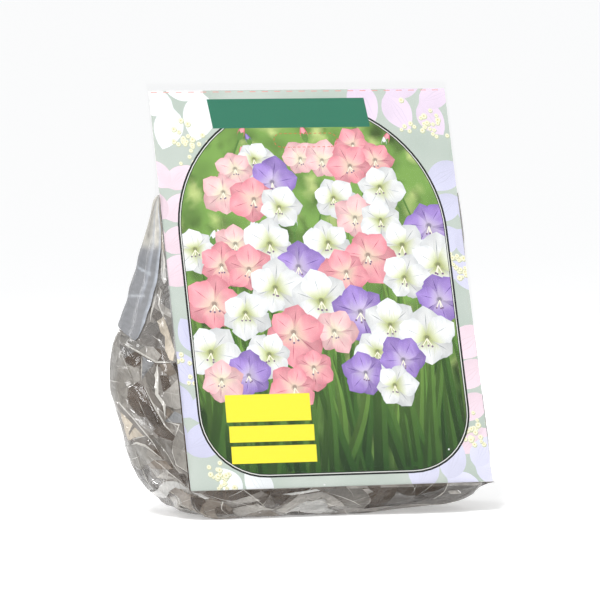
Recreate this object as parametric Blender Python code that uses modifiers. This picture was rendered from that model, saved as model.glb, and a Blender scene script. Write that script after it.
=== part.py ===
"""A sales pack of gladiolus corms: a clear film bag that stands on fifteen corms behind a picture card.

Metres, +Z up. +X runs along the card's width and +Y to the back. The pack stands on the flat spot under
its film, and the origin is at the bottom, in the middle of its bounding box.
"""

import math

import bmesh
import bpy
import numpy as np
from mathutils import Matrix, Vector
from mathutils.bvhtree import BVHTree

# The card, and how it stands: it leans back with its lower edge clear of the ground.
CARD_WIDTH = 0.150
CARD_HEIGHT = 0.200
CARD_THICKNESS = 0.0006
CARD_LEAN = math.radians(21.7)
CARD_LIFT = 0.0145

# The film, drawn thicker than life, and the least clearance between pieces that touch.
FILM = 0.0006
GAP = 0.0003
TOP_SEAM = 0.004  # film above the card's upper edge
FOOT_REACH = 0.009  # how far the front film has curved under the pack where it meets the ground

# The bag's shape at each height: its depth from front to back film, then how far its left and right
# sides reach past the card's edges. A negative reach is a foot narrower than the card.
SECTIONS = (
    (0.0000, 0.0500, -0.0185, -0.0560),
    (0.0015, 0.0580, -0.0120, -0.0520),
    (0.0040, 0.0660, -0.0040, -0.0300),
    (0.0080, 0.0730, 0.0045, -0.0110),
    (0.0130, 0.0765, 0.0112, 0.0005),
    (0.0235, 0.0765, 0.0165, 0.0020),
    (0.0355, 0.0725, 0.0215, 0.0065),
    (0.0495, 0.0660, 0.0252, 0.0065),
    (0.0635, 0.0585, 0.0275, 0.0045),
    (0.0775, 0.0490, 0.0270, 0.0030),
    (0.0915, 0.0390, 0.0215, 0.0018),
    (0.1065, 0.0290, 0.0160, 0.0010),
    (0.1215, 0.0205, 0.0108, 0.0005),
    (0.1365, 0.0125, 0.0048, 0.0002),
    (0.1515, 0.0050, 0.0008, 0.0000),
    (0.1695, 0.0033, 0.0001, 0.0000),
)
RINGS = 26
FRONT_STEPS = 10
SIDE_STEPS = 8
BACK_STEPS = 18
BACK_ROUNDING = 0.020
WIDEST = 0.42  # where the sides reach furthest, as a share of the depth
SIDE_BULGE = 0.004
FLAT_DEPTH = 0.004  # where the bag is no deeper than this, it lies flat round the card

VENT_DIAMETER = 0.006
VENT_HEIGHTS = (0.100, 0.116)
VENT_SIDE = 0.040  # the back vents' distance from the middle

# The corms: sold by a girth of 10 to 12 cm, so 32 to 38 mm across.
CORM_COUNT = 15
CORM_DIAMETER = 0.035
CORM_HEIGHT = 0.0225
CORM_SIZES = (0.93, 1.08)
CORM_SIDES = 16
# The turned outline, tip to root scar, as shares of the radius and of the height.
CORM_OUTLINE = (
    (0.00, 1.15), (0.07, 1.09), (0.14, 0.98), (0.38, 0.94), (0.43, 0.89), (0.66, 0.81), (0.72, 0.75),
    (0.92, 0.60), (1.00, 0.42), (0.94, 0.22), (0.70, 0.06), (0.42, 0.00), (0.34, 0.05), (0.00, 0.08),
)

# The pile: the bag was filled tilted, so that the corms lie deeper on the left. Each corm is packed as a
# cluster of balls, which start small and grow while they sink and push each other apart.
SEED = 5
PILE_SLOPE = 0.34
PACK_STEPS = 700
GROW_SHARE = 0.5  # of the steps
SINK_SHARE = 0.8
SMALLEST = 0.35
SINK = 0.0004  # in a step
SPACING = 0.0009  # between balls of different corms, and to the film and the card
RIM_BALLS = 8
RIM_RADIUS = 0.40  # of the corm's radius, as are the ball sizes
RIM_BALL = 0.63
MIDDLE_BALL = 0.66
TIP_BALL = 0.18
TIP_HEIGHT = 0.66
SETTLE_STEPS = 40
SHRINK = 0.98

FRONT_OFFSET = FILM + GAP  # from the card's face to the film's outer face, square to the card
HALF_FRONT = CARD_WIDTH / 2 + FRONT_OFFSET
BEHIND_CARD = (CARD_THICKNESS + GAP) / math.cos(CARD_LEAN)


def card_face(z):
    """The depth of the plane of the card's front face at this height."""
    return (z - CARD_LIFT) * math.tan(CARD_LEAN)


def clear_scene():
    for obj in list(bpy.data.objects):
        bpy.data.objects.remove(obj)


def collection(name):
    made = bpy.data.collections.new(name)
    bpy.context.scene.collection.children.link(made)
    return made


def material(name, colour, roughness, alpha=1.0, coat=0.0):
    made = bpy.data.materials.new(name)
    made.use_nodes = True
    shader = made.node_tree.nodes["Principled BSDF"]
    shader.inputs["Base Color"].default_value = (*colour, 1.0)
    shader.inputs["Roughness"].default_value = roughness
    shader.inputs["Metallic"].default_value = 0.0
    shader.inputs["Coat Weight"].default_value = coat
    shader.inputs["Alpha"].default_value = alpha
    made.diffuse_color = (*colour, alpha)
    return made


def add_object(name, mesh, home, finish=None):
    obj = bpy.data.objects.new(name, mesh)
    home.objects.link(obj)
    if finish:
        mesh.materials.clear()
        mesh.materials.append(finish)
    return obj


def evaluated_mesh(obj):
    """A plain copy of the object's mesh with its modifiers applied."""
    graph = bpy.context.evaluated_depsgraph_get()
    return bpy.data.meshes.new_from_object(obj.evaluated_get(graph))


def cutter_cylinder(name, diameter, length, location, axis, home):
    mesh = bpy.data.meshes.new(name)
    shape = bmesh.new()
    bmesh.ops.create_cone(
        shape, cap_ends=True, segments=12, radius1=diameter / 2, radius2=diameter / 2, depth=length
    )
    shape.to_mesh(mesh)
    shape.free()
    obj = add_object(name, mesh, home)
    obj.location = location
    obj.rotation_euler = Vector((0, 0, 1)).rotation_difference(Vector(axis)).to_euler()
    obj.hide_render = True
    obj.display_type = "WIRE"
    return obj


def smooth_through(knots, values, at):
    """Values at the given places on the smooth curve through the known ones, which never overshoots them."""
    rates = np.diff(values, axis=0) / np.diff(knots)[:, None]
    before, after = rates[:-1], rates[1:]
    same_way = before * after > 0
    inner = np.where(same_way, 2 * before * after / np.where(same_way, before + after, 1), 0)
    slopes = np.vstack([rates[:1], inner, rates[-1:]])
    row = np.clip(np.searchsorted(knots, at) - 1, 0, len(knots) - 2)
    span = (knots[row + 1] - knots[row])[:, None]
    t = (at - knots[row])[:, None] / span
    return (
        (2 * t**3 - 3 * t**2 + 1) * values[row] + (t**3 - 2 * t**2 + t) * span * slopes[row]
        + (3 * t**2 - 2 * t**3) * values[row + 1] + (t**3 - t**2) * span * slopes[row + 1]
    )


def smooth_outline(points, stretches):
    """Points on a smooth curve through the given ones, both ends included.

    Each stretch is how many spans of the curve it covers and how many steps it is cut into.
    """
    points = np.array(points)
    knots = np.concatenate([[0], np.cumsum(np.linalg.norm(np.diff(points, axis=0), axis=1) ** 0.5)])
    at = [0.0]
    first = 0
    for covered, steps in stretches:
        at.extend(np.linspace(knots[first], knots[first + covered], steps + 1)[1:])
        first += covered
    return smooth_through(knots, points, np.array(at))


def section_at(z):
    """Depth, left reach and right reach of the bag at this height."""
    top = (TOP_HEIGHT, (FRONT_OFFSET + CARD_THICKNESS + GAP + FILM) / math.cos(CARD_LEAN), 0.0, 0.0)
    table = np.array([*SECTIONS, top])
    return smooth_through(table[:, 0], table[:, 1:], np.array([z]))[0]


def front_depth(z):
    """Where the front film's outer face is: along the card, then in a quarter ellipse to the foot."""
    if z >= CARD_LIFT:
        return card_face(z) - FRONT_OFFSET / math.cos(CARD_LEAN)
    drop = (CARD_LIFT - z) / CARD_LIFT
    return FOOT_REACH * (1 - math.sqrt(1 - drop**2)) - FRONT_OFFSET / math.cos(CARD_LEAN)


def bag_ring(z):
    """One level outline of the bag: straight along the card, then round the sides and the back."""
    depth, left, right = section_at(z)
    front = front_depth(z)
    back = front + depth
    left_corner = -HALF_FRONT - min(left, 0)
    right_corner = HALF_FRONT + min(right, 0)
    slack = max(0.0, depth - FLAT_DEPTH)
    rounding = min(BACK_ROUNDING, slack / 2)
    side_bulge = min(SIDE_BULGE, slack / 8)
    back_left = left_corner + rounding / 2
    back_right = right_corner - rounding / 2
    flat = (back_right - back_left) / 3
    around = smooth_outline(
        (
            (right_corner, front),
            (right_corner + max(right, side_bulge), front + WIDEST * depth),
            (back_right, back - rounding / 4),
            (back_right - flat, back),
            (back_left + flat, back),
            (back_left, back - rounding / 4),
            (left_corner - max(left, side_bulge), front + WIDEST * depth),
            (left_corner, front),
        ),
        ((2, SIDE_STEPS), (3, BACK_STEPS), (2, SIDE_STEPS)),
    )
    along = np.linspace(left_corner, right_corner, FRONT_STEPS + 1)[1:-1]
    return [*((x, y, z) for x, y in around), *((x, front, z) for x in along)]


def bag_heights():
    """Ring heights, closer together in the rounded foot than in the body of the bag."""
    foot = [row[0] for row in SECTIONS[:5]]
    body = np.linspace(CARD_LIFT, TOP_HEIGHT, RINGS - len(foot))
    return [*foot, *body]


def make_bag(home, cutters, finish):
    shape = bmesh.new()
    rings = [[shape.verts.new(point) for point in bag_ring(z)] for z in bag_heights()]
    for lower, upper in zip(rings, rings[1:]):
        for i in range(len(lower)):
            j = (i + 1) % len(lower)
            shape.faces.new((lower[i], lower[j], upper[j], upper[i]))
    for ring in (rings[0], rings[-1]):
        middle = shape.verts.new(sum((vert.co for vert in ring), Vector()) / len(ring))
        for i, vert in enumerate(ring):
            shape.faces.new((middle, vert, ring[i - 1]))
    bmesh.ops.recalc_face_normals(shape, faces=shape.faces)
    bmesh.ops.triangulate(shape, faces=shape.faces, quad_method="FIXED")
    mesh = bpy.data.meshes.new("film_bag")
    shape.to_mesh(mesh)
    shape.free()
    bag = add_object("film_bag", mesh, home, finish)
    wall = bag.modifiers.new("film", "SOLIDIFY")
    wall.thickness = FILM
    wall.offset = -1
    for index, height in enumerate(VENT_HEIGHTS):
        depth, left, _ = section_at(height)
        side = (-HALF_FRONT - left, front_depth(height) + WIDEST * depth, height)
        back = ((index * 2 - 1) * VENT_SIDE, front_depth(height) + depth, height)
        for place, axis, name in ((side, (1, 0, 0), "side"), (back, (0, 1, 0), "back")):
            cutter = cutter_cylinder(
                f"vent_{name}_{index + 1}", VENT_DIAMETER, 0.008, place, axis, cutters
            )
            cut = bag.modifiers.new(cutter.name, "BOOLEAN")
            cut.operation = "DIFFERENCE"
            cut.object = cutter
    return bag


def make_card(home, finish):
    """The card lies in its plane, and its lower front edge is on the X axis before it is lifted."""
    mesh = bpy.data.meshes.new("picture_card")
    shape = bmesh.new()
    bmesh.ops.create_cube(shape, size=1)
    bmesh.ops.scale(shape, vec=(CARD_WIDTH, CARD_THICKNESS, CARD_HEIGHT), verts=shape.verts)
    bmesh.ops.translate(shape, vec=(0, CARD_THICKNESS / 2, CARD_HEIGHT / 2), verts=shape.verts)
    shape.to_mesh(mesh)
    shape.free()
    card = add_object("picture_card", mesh, home, finish)
    card.location = (0, 0, CARD_LIFT)
    card.rotation_euler = (-CARD_LEAN, 0, 0)
    return card


def make_corm_mesh(home, finish):
    """One corm, its root scar down and its shoot tip up, turned from its outline."""
    outline = bpy.data.meshes.new("corm_outline")
    radius = CORM_DIAMETER / 2
    points = [(r * radius, 0, (z - 0.5) * CORM_HEIGHT) for r, z in CORM_OUTLINE]
    outline.from_pydata(points, [(i, i + 1) for i in range(len(points) - 1)], [])
    turned = add_object("corm_outline", outline, home)
    screw = turned.modifiers.new("turn", "SCREW")
    screw.steps = CORM_SIDES
    screw.render_steps = CORM_SIDES
    screw.use_merge_vertices = True
    screw.merge_threshold = 0.00001
    mesh = evaluated_mesh(turned)
    bpy.data.objects.remove(turned)
    mesh.materials.clear()
    mesh.materials.append(finish)
    mesh.shade_smooth()
    mesh.set_sharp_from_angle(angle=math.radians(50))
    return mesh


def tree_of(mesh, matrix, grow=0.0):
    """A search tree of the mesh's faces in world space, with its points pushed out by grow."""
    points = [matrix @ (v.co + v.normal * grow) for v in mesh.vertices]
    return BVHTree.FromPolygons(points, [tuple(p.vertices) for p in mesh.polygons])


def corm_balls():
    """Centres and radii of the balls that stand for a corm of the usual size while it is packed."""
    radius = CORM_DIAMETER / 2
    turns = np.linspace(0, 2 * math.pi, RIM_BALLS, endpoint=False)
    rim = np.column_stack([np.cos(turns), np.sin(turns), np.zeros(RIM_BALLS)]) * RIM_RADIUS
    centres = np.vstack([rim, (0, 0, 0), (0, 0, TIP_HEIGHT)]) * radius
    return centres, np.array([RIM_BALL] * RIM_BALLS + [MIDDLE_BALL, TIP_BALL]) * radius


def push_apart(balls, radii, owner):
    """Moves for the balls of different corms that overlap, half of the overlap each."""
    between = balls[:, None] - balls[None]
    distance = np.linalg.norm(between, axis=2) + np.eye(len(balls))
    overlap = radii[:, None] + radii[None] + SPACING - distance
    overlap[(owner[:, None] == owner[None]) | (overlap < 0)] = 0
    return (between / distance[..., None] * overlap[..., None]).sum(axis=1) / 2


def push_inside(balls, radii, bag_tree):
    """Moves for the balls that cross the film or the back of the card."""
    moves = np.zeros_like(balls)
    for i, (ball, radius) in enumerate(zip(balls, radii)):
        point, normal, _, _ = bag_tree.find_nearest(Vector(ball))
        crossing = radius + FILM + SPACING - (point - Vector(ball)).dot(normal)
        if crossing > 0:
            moves[i] = -np.array(normal) * crossing
    card_normal = np.array([0, math.cos(CARD_LEAN), -math.sin(CARD_LEAN)])
    behind = (balls - (0, BEHIND_CARD, CARD_LIFT)) @ card_normal
    return moves + np.maximum(radii + SPACING - behind, 0)[:, None] * card_normal


def nearest_turns(bodies, groups):
    """The rotations that bring each corm's balls closest to where they were pushed."""
    left, _, right = np.linalg.svd(groups.transpose(0, 2, 1) @ bodies)
    left[:, :, 2] *= np.linalg.det(left @ right)[:, None]
    return left @ right


def packed_corms(bag_tree):
    """The place, rotation and size of each corm, packed into the bag from seeded random places."""
    draw = np.random.default_rng(SEED)
    shape, shape_radii = corm_balls()
    middle = shape.mean(axis=0)
    sizes = draw.uniform(*CORM_SIZES, CORM_COUNT)
    low, high = (-0.080, 0.034, 0.020), (0.060, 0.060, 0.065)
    centres = draw.uniform(low, high, (CORM_COUNT, 3))
    turns = nearest_turns(shape[None] - middle, draw.normal(size=(CORM_COUNT, len(shape), 3)))
    owner = np.repeat(np.arange(CORM_COUNT), len(shape))
    down = np.array([-PILE_SLOPE, 0, -1])
    for step in range(PACK_STEPS):
        share = step / PACK_STEPS
        scale = sizes * min(1.0, SMALLEST + (1 - SMALLEST) * share / GROW_SHARE)
        bodies = (shape - middle)[None] * scale[:, None, None]
        radii = (shape_radii[None] * scale[:, None]).ravel()
        balls = (centres[:, None] + bodies @ turns.transpose(0, 2, 1)).reshape(-1, 3)
        if share < SINK_SHARE:
            balls += down * SINK
        balls += push_apart(balls, radii, owner)
        balls += push_inside(balls, radii, bag_tree)
        groups = balls.reshape(CORM_COUNT, -1, 3)
        centres = groups.mean(axis=1)
        turns = nearest_turns(bodies, groups - centres[:, None])
    places = centres - np.einsum("cij,j,c->ci", turns, middle, sizes)
    return [
        Matrix.Translation(place) @ Matrix(turn.tolist()).to_4x4() @ Matrix.Scale(size, 4)
        for place, turn, size in zip(places, turns, sizes)
    ]


def settled(mesh, matrix, placed):
    """The corm's matrix, lifted clear of the others and let down until it nearly touches one."""
    step = GAP / 3
    while True:
        clear = None
        for lift in range(SETTLE_STEPS, -2 * SETTLE_STEPS, -1):
            moved = Matrix.Translation((0, 0, lift * step)) @ matrix
            grown = tree_of(mesh, moved, GAP + step)
            if not any(other.overlap(grown) for other in placed):
                clear = moved
            elif clear:
                return clear
        if clear:
            return clear
        matrix = matrix @ Matrix.Scale(SHRINK, 4)


def fill_bag(mesh, walls, outside, home):
    """Packs the corms, then sets each one down on those below it."""
    placed = list(walls)
    lowest_first = sorted(packed_corms(outside), key=lambda matrix: matrix.translation.z)
    for index, packed in enumerate(lowest_first):
        corm = bpy.data.objects.new(f"corm_{index + 1:02d}", mesh)
        home.objects.link(corm)
        corm.matrix_world = settled(mesh, packed, placed)
        placed.append(tree_of(mesh, corm.matrix_world))


def centre_on_ground(objects, pieces):
    """Moves all pieces so that the origin is under the middle of the bag, on the ground."""
    corners = [corner for piece in pieces for corner in world_points(piece)]
    low, high = np.min(corners, axis=0), np.max(corners, axis=0)
    shift = Vector((-(low[0] + high[0]) / 2, -(low[1] + high[1]) / 2, -low[2]))
    for obj in objects:
        obj.matrix_world = Matrix.Translation(shift) @ obj.matrix_world


def world_points(obj):
    mesh = evaluated_mesh(obj)
    points = [obj.matrix_world @ v.co for v in mesh.vertices]
    bpy.data.meshes.remove(mesh)
    return points


TOP_HEIGHT = CARD_LIFT + (CARD_HEIGHT + TOP_SEAM) * math.cos(CARD_LEAN)


def main():
    clear_scene()
    parts = collection("corm_pack")
    cutters = collection("cutters")
    clear_film = material("clear_film", (0.82, 0.84, 0.85), 0.18, alpha=0.3, coat=0.5)
    print_card = material("printed_card", (0.50, 0.60, 0.46), 0.35)
    tunic = material("corm_tunic", (0.23, 0.13, 0.08), 0.8)

    bag = make_bag(parts, cutters, clear_film)
    card = make_card(parts, print_card)
    bpy.context.view_layer.update()
    corm_mesh = make_corm_mesh(parts, tunic)
    walls = [tree_of(evaluated_mesh(piece), piece.matrix_world) for piece in (bag, card)]
    fill_bag(corm_mesh, walls, tree_of(bag.data, bag.matrix_world), parts)
    bpy.context.view_layer.update()
    centre_on_ground([*parts.objects, *cutters.objects], [bag])


if __name__ == "__main__":
    main()
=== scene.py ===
"""The looks of a sales pack of gladiolus corms: a crinkled clear film bag, fifteen corms and a picture card.

Metres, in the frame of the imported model. The card's print is laid out in millimetres: across from the card's
middle, and up from its lower edge.
"""

import math
from contextlib import contextmanager

import bmesh
import bpy
import numpy as np
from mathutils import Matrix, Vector
from mathutils.bvhtree import BVHTree
from mathutils.geometry import delaunay_2d_cdt
from mathutils.kdtree import KDTree


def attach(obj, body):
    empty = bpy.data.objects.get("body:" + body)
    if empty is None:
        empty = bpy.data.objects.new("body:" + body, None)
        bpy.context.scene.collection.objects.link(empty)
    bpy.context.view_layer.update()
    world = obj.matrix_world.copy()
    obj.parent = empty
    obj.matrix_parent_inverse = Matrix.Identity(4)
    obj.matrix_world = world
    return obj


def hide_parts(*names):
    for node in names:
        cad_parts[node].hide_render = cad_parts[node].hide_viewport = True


MM = 0.001
BODY = "root"

# The camera, in degrees and metres, fitted to the four corners of the card in the photograph.
CAMERA_AZIMUTH = -16.974
CAMERA_ELEVATION = 4.0885
CAMERA_DISTANCE = 2.5
CAMERA_LENS = 312.9
AIM_FROM_CARD = (-0.0101, 0.037)  # from the middle of the card's lower front edge
AIM_HEIGHT = 0.1007

WORLD_TINT = (0.97, 0.985, 1.0, 1)
WORLD_STRENGTH = 0.34
FLOOR_SIZE = 80.0
FLOOR_TINT = (0.93, 0.93, 0.93, 1)
FLOOR_GLOW = 0.33
KEY_SUN = (-42, 56, 1.42, 12)  # azimuth, elevation, strength and angle across
# Soft strips of light: azimuth, elevation, distance, width and height, and power.
STRIPS = {
    "left_strip": (-66, 22, 0.9, (0.10, 0.6), 2.4),
    "right_strip": (58, 14, 1.0, (0.05, 0.5), 1.2),
    "top_strip": (-20, 74, 0.9, (0.6, 0.05), 1.2),
    "low_strip": (-25, 6, 1.3, (0.5, 0.05), 0.6),
    "rear_left_strip": (-150, 30, 1.0, (0.08, 0.5), 2.5),
    "rear_right_strip": (140, 24, 1.0, (0.08, 0.5), 2.5),
}


def linear(colour):
    """Linear light from a colour written as 0 to 255 in each channel of the display's colour space."""
    shade = np.asarray(colour, float) / 255
    return np.where(shade <= 0.04045, shade / 12.92, ((shade + 0.055) / 1.055) ** 2.4)


def new_object(name, mesh, materials, smooth=True):
    obj = bpy.data.objects.new(name, mesh)
    bpy.context.scene.collection.objects.link(obj)
    for finish in materials:
        mesh.materials.append(finish)
    if smooth:
        mesh.shade_smooth()
    return obj


def new_material(name, **inputs):
    """A material with its own Principled shader, and the shader's inputs set by name."""
    made = bpy.data.materials.new(name)
    made.use_nodes = True
    shader = made.node_tree.nodes["Principled BSDF"]
    for key, value in inputs.items():
        shader.inputs[key.replace("_", " ")].default_value = value
    return made, made.node_tree.nodes, made.node_tree.links, shader


def add_node(nodes, kind, **inputs):
    node = nodes.new(kind)
    for key, value in inputs.items():
        node.inputs[key.replace("_", " ")].default_value = value
    return node


def add_ramp(nodes, links, source, target, stops):
    """A colour ramp between two sockets, with its stops given as positions and colours."""
    ramp = nodes.new("ShaderNodeValToRGB")
    elements = ramp.color_ramp.elements
    while len(elements) < len(stops):
        elements.new(0.5)
    for element, (position, colour) in zip(elements, stops):
        element.position = position
        element.color = (*colour, 1)
    links.new(source, ramp.inputs["Fac"])
    links.new(ramp.outputs["Color"], target)


def add_bump(nodes, links, shader, noise, strength, distance):
    """Fine relief from a noise."""
    bump = add_node(nodes, "ShaderNodeBump", Strength=strength, Distance=distance)
    links.new(noise.outputs["Fac"], bump.inputs["Height"])
    links.new(bump.outputs["Normal"], shader.inputs["Normal"])


@contextmanager
def edited(mesh):
    """The mesh opened for editing. Its faces are turned outwards when it closes."""
    shape = bmesh.new()
    shape.from_mesh(mesh)
    yield shape
    bmesh.ops.recalc_face_normals(shape, faces=shape.faces)
    shape.to_mesh(mesh)
    shape.free()


def tube_faces(first, last, cols):
    """Quads between these rows of points, which close on themselves after so many columns."""
    return [
        (i * cols + j, (i + 1) * cols + j, (i + 1) * cols + (j + 1) % cols, i * cols + (j + 1) % cols)
        for i in range(first, last)
        for j in range(cols)
    ]


# Camera, floor and lights.


def placed(name, data, azimuth, elevation, aim=(0, 0, 0), distance=0.0):
    """A camera or light that looks at the aim from this direction, in degrees, and this far away."""
    azimuth, elevation = math.radians(azimuth), math.radians(elevation)
    back = Vector((
        math.sin(azimuth) * math.cos(elevation),
        -math.cos(azimuth) * math.cos(elevation),
        math.sin(elevation),
    ))
    obj = bpy.data.objects.new(name, data)
    bpy.context.scene.collection.objects.link(obj)
    obj.location = Vector(aim) + back * distance
    obj.rotation_mode = "QUATERNION"
    obj.rotation_quaternion = (-back).to_track_quat("-Z", "Y")
    return obj


def add_camera(aim):
    data = bpy.data.cameras.new("camera")
    data.sensor_width = 36
    data.lens = CAMERA_LENS
    data.clip_end = 200
    bpy.context.scene.camera = placed(
        "camera", data, CAMERA_AZIMUTH, CAMERA_ELEVATION, aim, CAMERA_DISTANCE
    )


def add_world():
    world = bpy.data.worlds.new("studio")
    world.use_nodes = True
    background = world.node_tree.nodes["Background"]
    background.inputs["Color"].default_value = WORLD_TINT
    background.inputs["Strength"].default_value = WORLD_STRENGTH
    bpy.context.scene.world = world
    bpy.context.scene.view_settings.view_transform = "Standard"


def add_floor():
    mesh = bpy.data.meshes.new("floor")
    half = FLOOR_SIZE / 2
    corners = [(-half, -half, 0), (half, -half, 0), (half, half, 0), (-half, half, 0)]
    mesh.from_pydata(corners, [], [(0, 1, 2, 3)])
    finish, _, _, _ = new_material(
        "floor",
        Base_Color=FLOOR_TINT,
        Roughness=0.9,
        Emission_Color=(1, 1, 1, 1),
        Emission_Strength=FLOOR_GLOW,
    )
    floor = new_object("floor", mesh, [finish], smooth=False)


def add_lights(aim):
    azimuth, elevation, strength, angle = KEY_SUN
    sun = bpy.data.lights.new("key", "SUN")
    sun.energy = strength
    sun.angle = math.radians(angle)
    placed("key", sun, azimuth, elevation)
    for name, (azimuth, elevation, distance, size, power) in STRIPS.items():
        strip = bpy.data.lights.new(name, "AREA")
        strip.shape = "RECTANGLE"
        strip.size, strip.size_y = size
        strip.energy = power
        placed(name, strip, azimuth, elevation, aim, distance)


# The card's print.

CARD_MM = (150.0, 200.0)
PRINT_SPACING = 2.2  # between the loose points of the printed face, in millimetres


def turned(points, angle):
    cos, sin = math.cos(angle), math.sin(angle)
    return points @ np.array([[cos, sin], [-sin, cos]])


class Print:
    """Closed outlines with a paint each. Where outlines overlap, the one added last shows."""

    def __init__(self):
        self.outlines = []
        self.paints = []
        self.inside = []
        self.seeds = []

    def add(self, outline, paint, inside=None):
        """The paint gives colours at points. An outline that is inside another shows only within it."""
        self.outlines.append(np.asarray(outline, float))
        self.paints.append(paint)
        self.inside.append(inside)
        return len(self.outlines) - 1

    def mesh(self, name, place, spacing):
        """One flat mesh of the outlines, cut where they cross, coloured at each face's corners."""
        flat, corners = self.cut(spacing)
        tops = self.tops(flat[corners].mean(axis=1))
        corners, tops = corners[tops >= 0], tops[tops >= 0]
        colours = np.ones((len(corners), 3, 4))
        for top in np.unique(tops):
            rows = tops == top
            shades = self.paints[top](flat[corners[rows]].reshape(-1, 2))
            colours[rows, :, :3] = shades.reshape(-1, 3, 3)
        used, renumbered = np.unique(corners, return_inverse=True)
        made = bpy.data.meshes.new(name)
        made.from_pydata([place(u, v) for u, v in flat[used]], [], renumbered.reshape(-1, 3).tolist())
        ink = made.color_attributes.new("print", "FLOAT_COLOR", "CORNER")
        ink.data.foreach_set("color", np.clip(colours, 0, 1).astype(np.float32).ravel())
        return made

    def cut(self, spacing):
        """The card cut into triangles: places on it, and each triangle's corners among them."""
        draw = np.random.default_rng(3)
        across, up = np.meshgrid(
            np.arange(-CARD_MM[0] / 2 + spacing, CARD_MM[0] / 2, spacing),
            np.arange(spacing, CARD_MM[1], spacing),
        )
        lattice = np.column_stack([across.ravel(), up.ravel()])
        lattice += draw.uniform(-0.3, 0.3, lattice.shape) * spacing
        outline_points = np.vstack(self.outlines)
        points = np.vstack([outline_points, lattice, *self.seeds])
        edges, unused = self.shown_edges(outline_points)
        # A point that no shown edge needs is moved onto the last one, where it merges away.
        points[unused] = points[-1]
        found, _, triangles, _, _, _ = delaunay_2d_cdt(
            [Vector(point) for point in points], edges, [], 0, 1e-4, False
        )
        return np.array(found), np.array(triangles)

    def tops(self, middles):
        """The outline that shows at each place, or -1 off the card."""
        tops = np.full(len(middles), -1)
        covered = [inside_outline(outline, middles) for outline in self.outlines]
        for i, cover in enumerate(covered):
            within = self.inside[i]
            tops[cover if within is None else cover & covered[within]] = i
        tops[~covered[0]] = -1
        return tops

    def shown_edges(self, points):
        """The outlines' edges that no later outline covers, and the points that then have no edge."""
        sizes = [len(outline) for outline in self.outlines]
        starts = np.cumsum([0, *sizes])
        owner = np.repeat(np.arange(len(sizes)), sizes)
        nexts = np.arange(len(points)) + 1
        nexts[starts[1:] - 1] = starts[:-1]
        window = np.array([-1 if i is None else i for i in self.inside])
        hidden = np.zeros(len(points), bool)
        for j, outline in enumerate(self.outlines):
            first = starts[j]
            cover = inside_outline(outline, points[:first])
            same = window[j] < 0 or window[owner[:first]] == window[j]
            covered = np.zeros(len(points), bool)
            covered[:first] = cover & same
            hidden |= covered & covered[nexts]
        shown = np.nonzero(~hidden)[0]
        used = np.zeros(len(points), bool)
        used[shown] = used[nexts[shown]] = True
        return [(int(k), int(nexts[k])) for k in shown], np.nonzero(~used)[0]


def inside_outline(outline, points):
    """Which points lie inside a closed outline, by counting its crossings to their right."""
    low, high = outline.min(axis=0), outline.max(axis=0)
    near = np.nonzero(((points > low) & (points < high)).all(axis=1))[0]
    x, y = points[near, 0][:, None], points[near, 1][:, None]
    x1, y1 = outline.T
    x2, y2 = np.roll(outline, -1, axis=0).T
    rise = np.where(y2 == y1, 1, y2 - y1)
    crosses = ((y1 > y) != (y2 > y)) & (x < x1 + (y - y1) / rise * (x2 - x1))
    found = np.zeros(len(points), bool)
    found[near] = crosses.sum(axis=1) % 2 == 1
    return found


def mottle(points, seed, size):
    """A smooth random value from about -1 to 1 at each point, with blotches of about the given size."""
    draw = np.random.default_rng(seed)
    total = np.zeros(len(points))
    for octave in (1.0, 0.55, 0.3):
        for _ in range(5):
            angle = draw.uniform(0, 2 * math.pi)
            wave = 2 * math.pi / (2 * size * octave) * np.array([math.cos(angle), math.sin(angle)])
            total += octave * np.sin(points @ wave + draw.uniform(0, 2 * math.pi))
    return total / 3.2


def mixed(first, second, share):
    share = np.clip(share, 0, 1)[:, None]
    return linear(first) * (1 - share) + linear(second) * share


def plain(colour):
    return lambda points: np.tile(linear(colour), (len(points), 1))


def mottled(first, second, seed, size):
    return lambda points: mixed(first, second, 0.5 + 0.5 * mottle(points, seed, size))


def box_outline(left, right, low, high, skew=0.0):
    return [(left + skew, low), (right + skew, low), (right, high), (left, high)]


def round_outline(centre, radius, sides=12, squash=1.0):
    turns = np.linspace(0, 2 * math.pi, sides, endpoint=False)
    return np.column_stack([np.cos(turns), np.sin(turns) * squash]) * radius + centre


WINDOW_HALF = 66.0
WINDOW_TOP = 193.0
WINDOW_LOW = 7.0
WINDOW_CORNER = 30.0


def window_outline(grow=0.0):
    """The picture's frame: an arch with rounded lower corners."""
    half = WINDOW_HALF + grow
    top = WINDOW_TOP - WINDOW_HALF
    low = WINDOW_LOW - grow
    corner = WINDOW_CORNER + grow
    arch = np.linspace(0, math.pi, 41)
    left = np.linspace(math.pi, 1.5 * math.pi, 12)
    right = np.linspace(1.5 * math.pi, 2 * math.pi, 12)
    return np.vstack([
        np.column_stack([np.cos(arch) * half, np.sin(arch) * half + top]),
        np.column_stack([np.cos(left) * corner - half + corner, np.sin(left) * corner + low + corner]),
        np.column_stack([np.cos(right) * corner + half - corner, np.sin(right) * corner + low + corner]),
    ])


# The way that the light falls on a petal, and each blossom's colours at its throat, body and rim.
LIGHT_TURN = 2.2
BLOSSOM_COLOURS = {
    "white": ((208, 216, 150), (243, 244, 243), (216, 221, 226)),
    "pink": ((252, 220, 200), (243, 168, 176), (228, 112, 134)),
    "lilac": ((214, 200, 232), (168, 142, 210), (112, 80, 172)),
    "shell": ((250, 236, 208), (246, 204, 204), (236, 150, 164)),
}


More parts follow.
